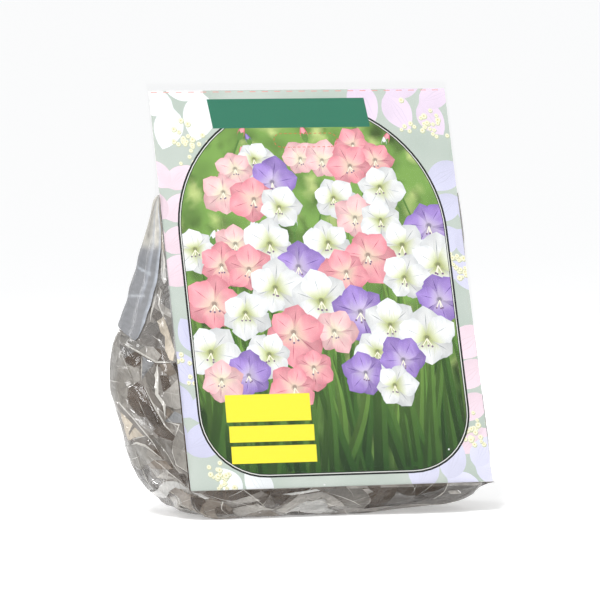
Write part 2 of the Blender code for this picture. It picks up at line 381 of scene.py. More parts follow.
def petal_outline(draw, length, width, ruffle, steps=12):
    """One petal along +X from its root, with a waved edge and a slight point."""
    along = np.linspace(0, 1, steps)
    half = width / 2 * np.sin(math.pi * along**1.15) ** 0.62
    wave = 1 + ruffle * draw.uniform(-1, 1, (2, steps)) * along
    upper = np.column_stack([along * length, half * wave[0]])
    lower = np.column_stack([along * length, -half * wave[1]])[-2:0:-1]
    outline = np.vstack([upper, lower])
    outline[steps - 1] = (length * (1.02 + draw.uniform(0, 0.06)), draw.uniform(-0.06, 0.06) * width)
    return outline


def petal_paint(centre, angle, length, width, colours, dim):
    """From the throat's colour to the petal's, with a lighter fold along it and darker waves at its edge."""
    throat, body, rim = colours
    turn_light = 1 + 0.09 * math.cos(angle - LIGHT_TURN)

    def paint(points):
        local = turned(points - centre, -angle)
        along = np.clip(local[:, 0] / length, 0, 1)
        side = local[:, 1] / (width / 2)
        shade = mixed(throat, body, (along - 0.08) / 0.36)
        tint = np.clip((along - 0.55) * 1.3 + (np.abs(side) - 0.55) * 0.7, 0, 0.8)[:, None]
        shade = shade * (1 - tint) + linear(rim) * tint
        light = turn_light + 0.07 * np.cos(side * 5 + 1) * along
        light += 0.05 * np.sin(side * 11 + angle * 3) * along
        light += 0.06 * mottle(points, 11, 4) - 0.10 * np.clip(np.abs(side) - 0.6, 0, 1)
        root = 1 - 0.22 * np.clip(1 - along / 0.3, 0, 1)
        return shade * (light * root * dim)[:, None]

    return paint


def add_blossom(sheet, draw, centre, radius, hue, window):
    """Six waved petals in two layers, a throat and three stamens."""
    centre = np.array(centre)
    facing = draw.uniform(0, 2 * math.pi)
    lean = draw.uniform(0, 2 * math.pi)
    for layer, dim in enumerate((0.80, 1.0)):
        for i in range(3):
            angle = facing + (2 * i + layer) * math.pi / 3 + draw.uniform(-0.12, 0.12)
            length = radius * draw.uniform(0.94, 1.05) * (1 + 0.12 * math.cos(angle - lean))
            root = centre + turned(np.array([[radius * 0.05, 0]]), angle)[0]
            add_petal(sheet, draw, root, angle, length, BLOSSOM_COLOURS[hue], dim, window)
    throat = np.array(BLOSSOM_COLOURS[hue][0])
    sheet.add(round_outline(centre, radius * 0.16, 10), plain(throat * 0.86), window)
    sheet.add(round_outline(centre + (0, radius * 0.03), radius * 0.10, 8), plain(throat * 0.66), window)
    for i in range(3):
        angle = -math.pi / 2 + (i - 1) * 0.45 + draw.uniform(-0.2, 0.2)
        reach = radius * draw.uniform(0.26, 0.36)
        thin = radius * 0.020
        stalk = np.array([(0, -thin), (reach, -thin), (reach, thin), (0, thin)])
        sheet.add(turned(stalk, angle) + centre, plain((246, 242, 222)), window)
        tip = centre + turned(np.array([[reach, 0]]), angle)[0]
        sheet.add(round_outline(tip, radius * 0.042, 6), plain((122, 96, 128)), window)


def add_petal(sheet, draw, root, angle, length, colours, dim, window):
    """One petal with its vein."""
    width = length * draw.uniform(0.92, 1.08)
    paint = petal_paint(root, angle, length, width, colours, dim)
    sheet.add(turned(petal_outline(draw, length, width, 0.14), angle) + root, paint, window)
    across, along = np.meshgrid((-0.3, 0, 0.3), (0.12, 0.28, 0.45, 0.62, 0.8))
    seeds = np.column_stack([along.ravel() * length, across.ravel() * width])
    sheet.seeds.append(turned(seeds, angle) + root)
    vein = np.array([(0.22, 0), (0.55, 0.014), (0.84, 0), (0.55, -0.014)]) * length
    sheet.add(turned(vein, angle) + root, plain(np.array(colours[2]) * (0.9 * dim)), window)


def add_bud(sheet, foot, heading, size, hue, window):
    """A pointed bud on a thin stalk, held in two green bracts."""
    foot = np.array(foot)
    stalk = np.array([(-16, -0.35), (1, -0.45), (1, 0.45), (-16, 0.35)])
    sheet.add(turned(stalk, heading) + foot, plain((88, 128, 60)), window)
    for share, colour in ((1.0, BLOSSOM_COLOURS[hue][2]), (0.62, BLOSSOM_COLOURS[hue][1])):
        outline = leaf_outline(size, size * 0.42 * share)
        sheet.add(turned(outline, heading) + foot, plain(colour), window)
    for sign in (-1, 1):
        bract = leaf_outline(size * 0.62, size * 0.26)
        sheet.add(turned(bract, heading + sign * 0.2) + foot, plain((104, 146, 72)), window)


def blade_outlines(foot, tip, width, bend):
    """The two halves of a long leaf that curves from its foot to its tip."""
    foot, tip = np.array(foot), np.array(tip)
    t = np.linspace(0, 1, 11)[:, None]
    side = np.array([tip[1] - foot[1], foot[0] - tip[0]])
    side = side / np.linalg.norm(side)
    middle = foot * (1 - t) + tip * t + side * bend * np.sin(math.pi * t * 0.9)
    half = width / 2 * (1 - t**2.2) + 0.05
    return (
        np.vstack([middle + side * half, middle[::-1]]),
        np.vstack([middle, (middle - side * half)[::-1]]),
    )


def blade_paint(low_colour, high_colour, low, high):
    return lambda points: mixed(low_colour, high_colour, (points[:, 1] - low) / (high - low)) * (
        1 + 0.08 * mottle(points, 5, 6)
    )[:, None]


def add_blade(sheet, draw, foot, tip, width, bend, window):
    green = draw.uniform(0, 1)
    dark = np.array([30, 62, 26]) * (1 - green) + np.array([52, 92, 34]) * green
    pale = np.array([92, 140, 58]) * (1 - green) + np.array([140, 176, 86]) * green
    lit, shaded = blade_outlines(foot, tip, width, bend)
    low, high = foot[1], tip[1]
    sheet.add(lit, blade_paint(dark, pale, low, high), window)
    sheet.add(shaded, blade_paint(dark * 0.72, pale * 0.8, low, high), window)


def garden_paint(points):
    """An out-of-focus garden: pale greens above, dark ones below."""
    height = np.clip(points[:, 1] / CARD_MM[1], 0, 1)
    shade = mixed((44, 70, 30), (128, 168, 84), height * 1.15 + 0.38 * mottle(points, 21, 13))
    glow = np.clip(mottle(points, 22, 9) - 0.35, 0, 1) * (0.25 + height)
    shade = shade * (1 - glow[:, None] * 0.7) + linear((214, 226, 150)) * glow[:, None] * 0.7
    dusk = np.clip(mottle(points, 23, 11) - 0.25, 0, 1)[:, None]
    return shade * (1 - 0.75 * dusk)


def add_garden(sheet, window):
    draw = np.random.default_rng(8)
    for _ in range(90):
        foot = (draw.uniform(-72, 72), draw.uniform(-6, 12))
        reach = draw.uniform(60, 128)
        tip = (foot[0] + draw.uniform(-22, 22), foot[1] + reach)
        add_blade(sheet, draw, foot, tip, draw.uniform(3.0, 6.5), draw.uniform(-7, 7), window)
    for _ in range(22):
        u, v = draw.uniform(-58, 58), draw.uniform(120, 182)
        heading = math.pi / 2 + draw.uniform(-0.5, 0.5)
        hue = ("lilac", "pink", "white")[draw.integers(3)]
        add_bud(sheet, (u, v), heading, draw.uniform(6, 10), hue, window)
    for u, v, radius, hue in blossom_places(draw):
        add_blossom(sheet, draw, (u, v), radius, hue, window)


def blossom_places(draw):
    """A loose bank of blossoms, largest in the middle, in drifts of one colour, the far ones first."""
    hues = ("lilac", "white", "pink", "shell")
    places = []
    tries = 0
    while len(places) < 70 and tries < 9000:
        tries += 1
        u, v = draw.uniform(-64, 64), draw.uniform(48, 172)
        radius = 13.2 - 0.050 * abs(v - 95) + draw.uniform(-1.5, 1.5)
        bank = 0.5 + 0.5 * mottle(np.array([[u, v]]), 33, 24)[0]
        if abs(u) > 62 - max(0, v - 128) * 0.75 or bank < 0.25 + 0.4 * abs(v - 105) / 60:
            continue
        if all(math.hypot(u - a, v - b) > 0.60 * (radius + r) for a, b, r, _ in places):
            drift = mottle(np.array([[u, v]]), 31, 30)[0] * 1.6 + draw.normal() * 0.35
            places.append((u, v, radius, hues[int(np.clip(drift * 1.3 + 2, 0, 3))]))
    return sorted(places, key=lambda place: -place[1])


def leaf_outline(length, width, steps=11):
    along = np.linspace(0, 1, steps)
    half = width / 2 * np.sin(math.pi * along**0.85) ** 0.75
    return np.vstack([
        np.column_stack([along * length, half]),
        np.column_stack([along * length, -half])[-2:0:-1],
    ])


def add_spray(sheet, draw, foot, heading, pairs, size, hue):
    """A pale spray of round leaves in pairs along a stem."""
    foot = np.array(foot, float)
    for i in range(pairs):
        share = (i + 1) / pairs
        place = foot + turned(np.array([[size * 0.72 * (i + 0.5), 0]]), heading)[0]
        for sign in (-1, 1):
            angle = heading + sign * (0.95 - 0.25 * share)
            length = size * (1.15 - 0.35 * share) * draw.uniform(0.92, 1.06)
            outline = turned(leaf_outline(length, length * 0.66), angle) + place
            pale = np.array(hue) + draw.uniform(-5, 5)
            sheet.add(outline, leaf_paint(place, angle, length, pale))
            for k in (-1, 0, 1):
                bend = 0.10 * k
                vein = np.array([(0.08, 0), (0.5, 0.012 + bend), (0.9, 0.06 * k), (0.5, bend - 0.006)])
                sheet.add(turned(vein * length, angle) + place, plain(pale * 0.955))


def leaf_paint(place, angle, length, colour):
    def paint(points):
        local = turned(points - place, -angle) / length
        shade = 0.97 + 0.06 * local[:, 0] + 0.12 * local[:, 1] + 0.02 * mottle(points, 41, 6)
        return linear(colour) * shade[:, None]

    return paint


def add_cream_flowers(sheet, draw, centre, spread, count):
    for _ in range(count):
        place = np.array(centre) + draw.normal(size=2) * spread
        radius = draw.uniform(0.9, 1.5)
        sheet.add(round_outline(place + (0.15, -0.3), radius * 1.08, 7), plain((196, 200, 160)))
        sheet.add(round_outline(place, radius, 7), plain((243, 241, 214)))
        sheet.add(round_outline(place, radius * 0.35, 5), plain((222, 214, 150)))


BORDER_SPRAYS = (
    ((-78, 12), 75, 4, 23, (214, 214, 238)),
    ((-80, 96), 80, 4, 22, (240, 218, 228)),
    ((-40, 202), 205, 3, 24, (246, 248, 250)),
    ((20, 206), -18, 3, 24, (236, 220, 238)),
    ((80, 168), -100, 4, 23, (216, 216, 238)),
    ((82, 84), -98, 4, 23, (242, 220, 230)),
    ((30, -6), 20, 3, 22, (222, 222, 242)),
    ((-30, -8), 165, 2, 20, (240, 244, 246)),
)
CREAM_CLUSTERS = ((-66, 62, 5), (-58, 176, 6), (64, 182, 5), (68, 26, 5), (-60, 8, 4), (70, 110, 4))
FRAME_LINES = ((1.7, (22, 24, 22)), (0.75, (236, 238, 232)), (0.35, (22, 24, 22)))
TITLE_BAR = (-46.5, 33.0, 180.5, 195.5, 1.6)
YELLOW_BARS = ((-53.5, -11.5, 33.0, 46.5), (-53.0, -11.0, 23.0, 31.0), (-53.0, -11.0, 12.5, 21.0))


def add_dashes(sheet, points, dash, gap, width, colour):
    """Short strokes along a route of points."""
    points = np.array(points, float)
    steps = np.linalg.norm(np.diff(points, axis=0), axis=1)
    reach = np.concatenate([[0], np.cumsum(steps)])
    for start in np.arange(0, reach[-1] - dash, dash + gap):
        ends = np.column_stack([
            np.interp([start, start + dash], reach, points[:, axis]) for axis in range(2)
        ])
        along = (ends[1] - ends[0]) / np.linalg.norm(ends[1] - ends[0])
        side = np.array([-along[1], along[0]]) * width / 2
        sheet.add([ends[0] - side, ends[1] - side, ends[1] + side, ends[0] + side], plain(colour))


def slot_outline(centre, width, height, steps=8):
    """A slot with round ends, which closes on its first point."""

    def arc(first, side):
        turns = np.linspace(first, first + math.pi, steps)
        across = np.cos(turns) * height / 2 + centre[0] + side
        return np.column_stack([across, np.sin(turns) * height / 2 + centre[1]])

    half = (width - height) / 2
    outline = np.vstack([arc(-math.pi / 2, half), arc(math.pi / 2, -half)])
    return np.vstack([outline, outline[:1]])


def draw_print():
    """The card's print, from its ground up to its dashed lines."""
    sheet = Print()
    half = CARD_MM[0] / 2
    draw = np.random.default_rng(17)
    card = box_outline(-half, half, 0, CARD_MM[1])
    sheet.add(card, mottled((186, 198, 188), (200, 208, 200), 1, 30))
    for foot, heading, pairs, size, hue in BORDER_SPRAYS:
        add_spray(sheet, draw, foot, math.radians(heading), pairs, size, hue)
    for u, v, spread in CREAM_CLUSTERS:
        add_cream_flowers(sheet, draw, (u, v), spread, 26)
    for grow, colour in FRAME_LINES:
        sheet.add(window_outline(grow), plain(colour))
    window = sheet.add(window_outline(), garden_paint)
    add_garden(sheet, window)
    sheet.add(box_outline(*TITLE_BAR), plain((50, 120, 95)))
    for bar in YELLOW_BARS:
        sheet.add(box_outline(*bar, -0.4), plain((251, 236, 62)))
    top = CARD_MM[1] - 0.8
    add_dashes(sheet, [(-half + 1, top), (half - 1, top)], 3.0, 3.2, 0.35, (232, 150, 140))
    add_dashes(sheet, slot_outline((1.0, 174.0), 32, 7), 1.4, 1.1, 0.3, (214, 92, 70))
    return sheet


def print_material():
    made, nodes, links, shader = new_material(
        "printed_card", Roughness=0.32, Coat_Weight=0.25, Coat_Roughness=0.12
    )
    ink = nodes.new("ShaderNodeVertexColor")
    ink.layer_name = "print"
    fibre = add_node(nodes, "ShaderNodeTexNoise", Scale=900.0, Detail=2.0)
    add_bump(nodes, links, shader, fibre, 0.05, 0.0001)
    links.new(ink.outputs["Color"], shader.inputs["Base Color"])
    return made


def card_stock():
    made, nodes, links, shader = new_material("card_stock", Roughness=0.6)
    fibre = add_node(nodes, "ShaderNodeTexNoise", Scale=260.0, Detail=4.0)
    stops = ((0, (0.66, 0.65, 0.61)), (1, (0.78, 0.77, 0.74)))
    add_ramp(nodes, links, fibre.outputs["Fac"], shader.inputs["Base Color"], stops)
    return made


class CardPlane:
    """Where the card stands: its lower front edge, and the directions up its face and out of it."""

    def __init__(self, node):
        corners = np.array([v.co for v in node.data.vertices])
        low = corners[np.argmin(corners[:, 1])]
        high = corners[np.argmax(corners[:, 2])]
        self.middle = (corners[:, 0].min() + corners[:, 0].max()) / 2
        self.foot = np.array([self.middle, low[1], low[2]])
        rise = np.array([0, high[1] - low[1], high[2] - low[2]])
        self.height = np.linalg.norm(rise)
        self.up = rise / self.height
        self.out = np.array([0, -self.up[2], self.up[1]])
        self.thickness = -((corners - self.foot) @ self.out).min()
        self.half_width = (corners[:, 0].max() - corners[:, 0].min()) / 2

    def at(self, across, up):
        """The point on the card's face at this place of the print, in millimetres."""
        return self.foot + np.array([across * MM, 0, 0]) + self.up * up * MM


def make_card(plane):
    """The printed face, with the card's edges and plain back behind it."""
    mesh = draw_print().mesh("picture_card_print", plane.at, PRINT_SPACING)
    with edited(mesh) as shape:
        rim = [edge for edge in shape.edges if edge.is_boundary]
        grown = bmesh.ops.extrude_edge_only(shape, edges=rim)["geom"]
        back = [item for item in grown if isinstance(item, bmesh.types.BMVert)]
        bmesh.ops.translate(shape, vec=Vector(-plane.out * plane.thickness), verts=back)
        sides = [item for item in grown if isinstance(item, bmesh.types.BMFace)]
        hem = [item for item in grown if isinstance(item, bmesh.types.BMEdge) and item.is_boundary]
        rear = bmesh.ops.contextual_create(shape, geom=hem)["faces"]
        for face in [*sides, *rear]:
            face.material_index = 1
        bmesh.ops.triangulate(shape, faces=rear)
    card = new_object("picture_card_printed", mesh, [print_material(), card_stock()], smooth=False)
    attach(card, BODY)
    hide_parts("picture_card")


# The corms.

CORM_SIDES = 72
# The turned outline from the tip of the shoot to the root scar, as shares of the radius and of the height.
CORM_OUTLINE = (
    (0.00, 1.15), (0.07, 1.09), (0.14, 0.98), (0.38, 0.94), (0.43, 0.89), (0.66, 0.81), (0.72, 0.75),
    (0.92, 0.60), (1.00, 0.42), (0.94, 0.22), (0.70, 0.06), (0.42, 0.00), (0.34, 0.05), (0.00, 0.08),
)
OUTLINE_STEPS = 5
RIM_LEVEL = 0.42  # the widest place's share of the height
FIRST_CORM_SEED = 100


def corm_pose(node):
    """Centre of the rim, tip axis, radius and height of a corm, from its solid."""
    points = np.array([v.co for v in node.data.vertices])
    weights = [poly.area for poly in node.data.polygons]
    centres = np.array([poly.center for poly in node.data.polygons])
    centre = np.average(centres, axis=0, weights=weights)
    spread = np.cov((centres - centre).T, aweights=weights)
    sizes, axes = np.linalg.eigh(spread)
    odd = 0 if sizes[1] - sizes[0] > sizes[2] - sizes[1] else 2
    axis = axes[:, odd]
    along = (points - centre) @ axis
    if along.max() < -along.min():
        axis, along = -axis, -along
    radial = np.linalg.norm(points - centre - np.outer(along, axis), axis=1)
    radius = radial.max()
    rim = centre + axis * along[np.argmax(radial)]
    height = (along.max() - along.min()) / CORM_OUTLINE[0][1]
    return rim, axis, radius, height


def tunic_pull(draw, reach, turns):
    """How far the tunic is drawn in at each place, as a share of the radius.

    It is lobed and dented, with fibres that run from the tip to the root scar.
    """
    lobes = sum(
        draw.uniform(0.004, 0.02) * np.sin(k * turns + draw.uniform(0, 6.28)) for k in (2, 3, 5)
    )
    fibres = np.abs(np.sin(turns * 17 + draw.uniform(0, 6) + 1.5 * np.sin(turns * 3))) * 0.012
    dents = draw.normal(size=(len(reach), len(turns)))
    for _ in range(3):
        dents = (dents + np.roll(dents, 1, 1) + np.roll(dents, -1, 1)) / 3
        dents[1:-1] = (dents[:-2] + dents[1:-1] + dents[2:]) / 3
    body = np.clip(reach * 4, 0, 1)[:, None]
    return np.clip(0.02 + lobes[None] + fibres[None] + dents * 0.02, 0, 0.07) * body


def add_grain(mesh, x, y, z):
    """Keeps where the fibres run, for the tunic's shader."""
    far = np.maximum(np.hypot(x, y), 1e-6)
    spun = np.column_stack([x / far * 3, y / far * 3, z * 0.5 + far * 0.4])
    grain = mesh.attributes.new("grain", "FLOAT_VECTOR", "POINT")
    grain.data.foreach_set("vector", spun.astype(np.float32).ravel())


def corm_mesh(name, node, seed):
    """A corm turned round its axis, with its tunic's lobes, fibres and dents."""
    rim, axis, radius, height = corm_pose(node)
    side = np.cross(axis, (0.3, 0.5, 0.8))
    side /= np.linalg.norm(side)
    other = np.cross(axis, side)
    outline = np.array(CORM_OUTLINE)
    fine = np.linspace(0, len(outline) - 1, (len(outline) - 1) * OUTLINE_STEPS + 1)
    reach, level = (np.interp(fine, np.arange(len(outline)), column) for column in outline.T)
    turns = np.linspace(0, 2 * math.pi, CORM_SIDES, endpoint=False)
    pull = tunic_pull(np.random.default_rng(seed), reach, turns)
    ring = reach[:, None] * (1 - pull)
    lift = (level - RIM_LEVEL)[:, None] * (1 - pull * 0.5)
    spoke = np.cos(turns)[None, :, None] * side + np.sin(turns)[None, :, None] * other
    points = rim + radius * ring[..., None] * spoke + height * lift[..., None] * axis
    rows, cols = len(fine), CORM_SIDES
    faces = tube_faces(1, rows - 2, cols)
    tip, scar, last = rows * cols, rows * cols + 1, (rows - 2) * cols
    for j in range(cols):
        after = (j + 1) % cols
        faces.append((tip, cols + j, cols + after))
        faces.append((last + j, scar, last + after))
    vertices = [*points.reshape(-1, 3), points[0].mean(axis=0), points[-1].mean(axis=0)]
    mesh = bpy.data.meshes.new(name)
    mesh.from_pydata([tuple(p) for p in vertices], [], faces)
    with edited(mesh) as shape:
        loose = [vert for vert in shape.verts if not vert.link_faces]
        bmesh.ops.delete(shape, geom=loose, context="VERTS")
    local = np.array([v.co for v in mesh.vertices]) - rim
    add_grain(mesh, local @ side / radius, local @ other / radius, local @ axis / height)
    return mesh


def tunic_material():
    made, nodes, links, shader = new_material("corm_tunic", Roughness=0.72, Sheen_Weight=0.15)
    grain = nodes.new("ShaderNodeAttribute")
    grain.attribute_name = "grain"
    fibre = add_node(nodes, "ShaderNodeTexNoise", Scale=9.0, Detail=5.0, Roughness=0.65)
    patch = add_node(nodes, "ShaderNodeTexNoise", Scale=90.0, Detail=3.0)
    links.new(grain.outputs["Vector"], fibre.inputs["Vector"])
    blend = nodes.new("ShaderNodeMix")
    blend.data_type = "FLOAT"
    blend.inputs[0].default_value = 0.35
    links.new(fibre.outputs["Fac"], blend.inputs[2])
    links.new(patch.outputs["Fac"], blend.inputs[3])
    stops = ((0.32, (0.045, 0.022, 0.012)), (0.52, (0.15, 0.075, 0.038)), (0.72, (0.33, 0.19, 0.10)))
    add_ramp(nodes, links, blend.outputs[0], shader.inputs["Base Color"], stops)
    add_bump(nodes, links, shader, fibre, 0.5, 0.0006)
    return made


def make_corms(nodes):
    """A husk over each corm, all of one finish."""
    tunic = tunic_material()
    names = sorted(name for name in nodes if name.startswith("corm_"))
    corms = []
    for index, name in enumerate(names):
        mesh = corm_mesh(f"{name}_husk", nodes[name], FIRST_CORM_SEED + index)
        corm = new_object(f"{name}_husk", mesh, [tunic])
        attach(corm, BODY)
        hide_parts(name)
        corms.append(corm)
    return corms


# The film bag. Heights and other lengths are in metres, and in millimetres on the unrolled film.

FRONT_COLUMNS = 60
ROUND_COLUMNS = 240
SIDE_TURNS = 160
BASE_RINGS = 14
WALL_STEP = 0.0016
FOOT_HEIGHT = 0.013
FOOT_ROWS = 14
CARD_MARGIN = 0.0009  # the film lies flat this far past the card's edges
CORM_CLEARANCE = 0.0012
# Layers of creases, in millimetres: their corners' spacing and how far they dent the film, then how much
# longer than wide the facets are, how far they lean sideways for each step up, which share of the creases gets
# a pale ribbon, partly stress whitening and partly a painted highlight, half the width of such a ribbon, and
# the seed.
CREASES = (
    (25.0, 2.6, 1.7, 0.40, 0.7, 0.34, 6),
    (12.0, 1.3, 1.9, -0.30, 0.4, 0.26, 7),
    (6.0, 0.5, 1.5, 0.55, 0.0, 0.0, 8),
)
DENT_BIAS = 0.15  # dents go inwards a little more often than outwards
RIDGE_LIFT = 0.2  # how far a pale crease ribbon, partly stress whitening and partly a painted highlight, stands up, in millimetres
SHARP_ANGLE = math.radians(16)  # a crease sharper than this is shaded as an edge
FINE_STEP = 1.9  # spacing of the mesh's points on loose film, in millimetres
COARSE_STEP = 5.0  # and on the card and under the foot
RIGHT_CLEAR = 4  # columns past the card's right edge where the film is still clear
CLEAR_ABOVE = 0.150  # the film lies tight and clear round the card's edges above this height
BACK_COLUMNS = 25  # columns past the card's edges where the back begins
BACK_CLEAR_ABOVE = 0.184
BACK_RAGGED = 9.0  # how unevenly the back thins out towards its top, in millimetres
VENT_RADIUS = 0.003
VENT_HEIGHTS = (0.100, 0.116)
VENT_SIDE = 0.040  # how far the back's vents are from the middle
# How slack the film is at these heights: beside the card, at the back, and close to the floor.
SIDE_SLACK = ((0.10, 0.14, 0.16, 0.20), (1.0, 0.55, 0.12, 0.06))
BACK_SLACK = ((0.12, 0.17, 0.202), (1.0, 0.6, 0.25))
FLOOR_SLACK = ((0.0, 0.003, 0.008), (0.2, 0.7, 1.0))
SLACK_COLUMNS = 7  # the film comes loose over so many columns beside the card
SLACK_BELOW = 0.005  # and over this height under the card's foot


class BagShape:
    """The smooth bag, read from its solid by rays from outside."""

    def __init__(self, node, plane):
        mesh = node.data
        self.tree = BVHTree.FromPolygons(
            [v.co for v in mesh.vertices], [tuple(p.vertices) for p in mesh.polygons]
        )
        self.top = max(v.co.z for v in mesh.vertices)
        self.plane = plane

    def ray(self, x, z, from_front):
        start = Vector((x, -1 if from_front else 1, z))
        point, _, _, _ = self.tree.ray_cast(start, Vector((0, 1 if from_front else -1, 0)))
        return None if point is None else point.y

    def hit(self, x, z, from_front):
        """The film's depth here, taken from just above and below where a vent lets the ray through."""
        depth = self.ray(x, z, from_front)
        above = self.ray(x, z + 1.4 * VENT_RADIUS, from_front)
        below = self.ray(x, z - 1.4 * VENT_RADIUS, from_front)
        if above is None or below is None:
            return depth
        level = (above + below) / 2
        return level if depth is None or abs(depth - level) > 0.0015 else depth

    def extent(self, z, sign):
        """How far the bag reaches to one side at this height."""
        inside, outside = self.plane.middle, sign * 0.12
        for _ in range(18):
            middle = (inside + outside) / 2
            if self.ray(middle, z, True) is None:
                outside = middle
            else:
                inside = middle
        return inside

    def outline(self, z, left, right):
        """Points round the bag at this height: the front between the card's edges, then the rest."""
        middle, half = (left + right) / 2, (right - left) / 2
        card_left = max(self.plane.middle - self.plane.half_width - CARD_MARGIN, left + 0.002)
        card_right = min(self.plane.middle + self.plane.half_width + CARD_MARGIN, right - 0.0002)
        front_x = np.linspace(card_left, card_right, FRONT_COLUMNS + 1)
        front = [(x, self.hit(x, z, True)) for x in front_x]
        turns = np.linspace(-math.pi / 2, math.pi / 2, SIDE_TURNS)[1:-1]
        xs = middle + half * np.sin(turns)
        side_right = [(x, self.hit(x, z, True)) for x in xs if x > card_right + 0.0003]
        back = [(x, self.hit(x, z, False)) for x in xs[::-1]]
        side_left = [(x, self.hit(x, z, True)) for x in xs if x < card_left - 0.0003]
        route = [front[-1], *side_right, *back, *side_left, front[0]]
        route = np.array([p for p in route if p[1] is not None], float)
        reach = np.concatenate([[0], np.cumsum(np.linalg.norm(np.diff(route, axis=0), axis=1))])
        even = np.linspace(0, reach[-1], ROUND_COLUMNS + 1)[1:-1]
        rest = np.column_stack([np.interp(even, reach, route[:, axis]) for axis in range(2)])
        ring = np.vstack([np.array(front, float), rest])
        return np.column_stack([ring, np.full(len(ring), z)])


def bag_grid(shape):
    """Points of the smooth bag in rows from the middle of its foot to its top, and that middle."""
    foot = FOOT_HEIGHT * (1 - np.cos(np.linspace(0.12, math.pi / 2, FOOT_ROWS)))
    body = np.arange(FOOT_HEIGHT + WALL_STEP, shape.top - 0.0006, WALL_STEP)
    heights = np.concatenate([foot, body, [shape.top - 0.0002]])
    left = evened([shape.extent(z, -1) for z in heights])
    right = evened([shape.extent(z, 1) for z in heights])
    walls = np.array([shape.outline(z, a, b) for z, a, b in zip(heights, left, right)])
    centre = walls[0].mean(axis=0)
    centre[2] = 0
    base = []
    for ring in range(1, BASE_RINGS + 1):
        share = ring / (BASE_RINGS + 1)
        row = centre + (walls[0] - centre) * share
        row[:, 2] = walls[0][0, 2] * share**6
        base.append(row)
    return np.vstack([np.array(base), walls]), centre


def evened(values, reach=5):
    """The values with the short notches that the vents make in them taken out, above the foot."""
    values = np.array(values)
    padded = np.pad(values, reach, mode="edge")
    middle = np.median([padded[k : k + len(values)] for k in range(2 * reach + 1)], axis=0)
    middle[:FOOT_ROWS] = values[:FOOT_ROWS]
    middle[-reach:] = values[-reach:]
    return middle


def softened(values, passes, held=None):
    """Points in rows and columns, averaged with their neighbours a few times, apart from the held ones."""
    kept = values
    for _ in range(passes):
        values = (np.roll(values, 1, axis=1) + 2 * values + np.roll(values, -1, axis=1)) / 4
        middle = (values[:-2] + 2 * values[1:-1] + values[2:]) / 4
        values = np.concatenate([values[:1], middle, values[-1:]])
        if held is not None:
            values = np.where(held[..., None], kept, values)
    return values


def grid_normals(grid, reach=2):
    """Outward unit normals of the rows and columns."""
    across = np.roll(grid, -reach, axis=1) - np.roll(grid, reach, axis=1)
    padded = np.pad(grid, ((reach, reach), (0, 0), (0, 0)), mode="edge")
    up = padded[2 * reach :] - padded[: -2 * reach]
    normals = softened(np.cross(across, up), 4)
    if normals[len(grid) // 2, FRONT_COLUMNS // 2, 1] > 0:
        normals = -normals
    return normals / np.maximum(np.linalg.norm(normals, axis=2, keepdims=True), 1e-12)


class FilmMap:
    """The smooth bag unrolled: millimetres round from the card's left edge, and up from the foot's middle."""

    def __init__(self, shape, plane):
        grid, self.centre = bag_grid(shape)
        self.plane = plane
        columns = np.arange(grid.shape[1])
        on_card = (grid[..., 2] > plane.foot[2]) & (columns <= FRONT_COLUMNS)
        self.grid = softened(grid, 6, on_card)
        self.rows, self.cols, _ = self.grid.shape
        self.normals = grid_normals(self.grid)
        steps = np.linalg.norm(np.roll(self.grid, -1, axis=1) - self.grid, axis=2)
        self.perimeters = steps.sum(axis=1) / MM
        self.across = np.concatenate([[0], np.cumsum(steps[self.rows // 3])]) / MM
        rise = np.linalg.norm(np.diff(self.grid, axis=0), axis=2).mean(axis=1)
        self.up = np.concatenate([[0], np.cumsum(rise)]) / MM
        self.period = self.across[-1]
        self.reach = self.up[-1]
        self.heights = self.grid[:, 0, 2]

    def level(self, height):
        """How far up the film lies at this height of the bag's wall."""
        return float(np.interp(height, self.heights[BASE_RINGS:], self.up[BASE_RINGS:]))

    def sample(self, values, flat):
        """Values of the rows and columns at points of the unrolled film."""
        column = np.interp(flat[:, 0], self.across, np.arange(self.cols + 1))
        row = np.clip(np.interp(flat[:, 1], self.up, np.arange(self.rows)), 0, self.rows - 1.001)
        left, low = column.astype(int), row.astype(int)
        side, lift = (column - left)[:, None], (row - low)[:, None]
        near, far = left % self.cols, (left + 1) % self.cols
        lower = values[low, near] * (1 - side) + values[low, far] * side
        upper = values[low + 1, near] * (1 - side) + values[low + 1, far] * side
        return lower * (1 - lift) + upper * lift

    def place(self, flat, lift):
        """Points on the film, each raised outwards by its lift in millimetres."""
        normals = self.sample(self.normals, flat)
        normals /= np.linalg.norm(normals, axis=1, keepdims=True)
        return self.sample(self.grid, flat) + normals * (lift * MM)[:, None]


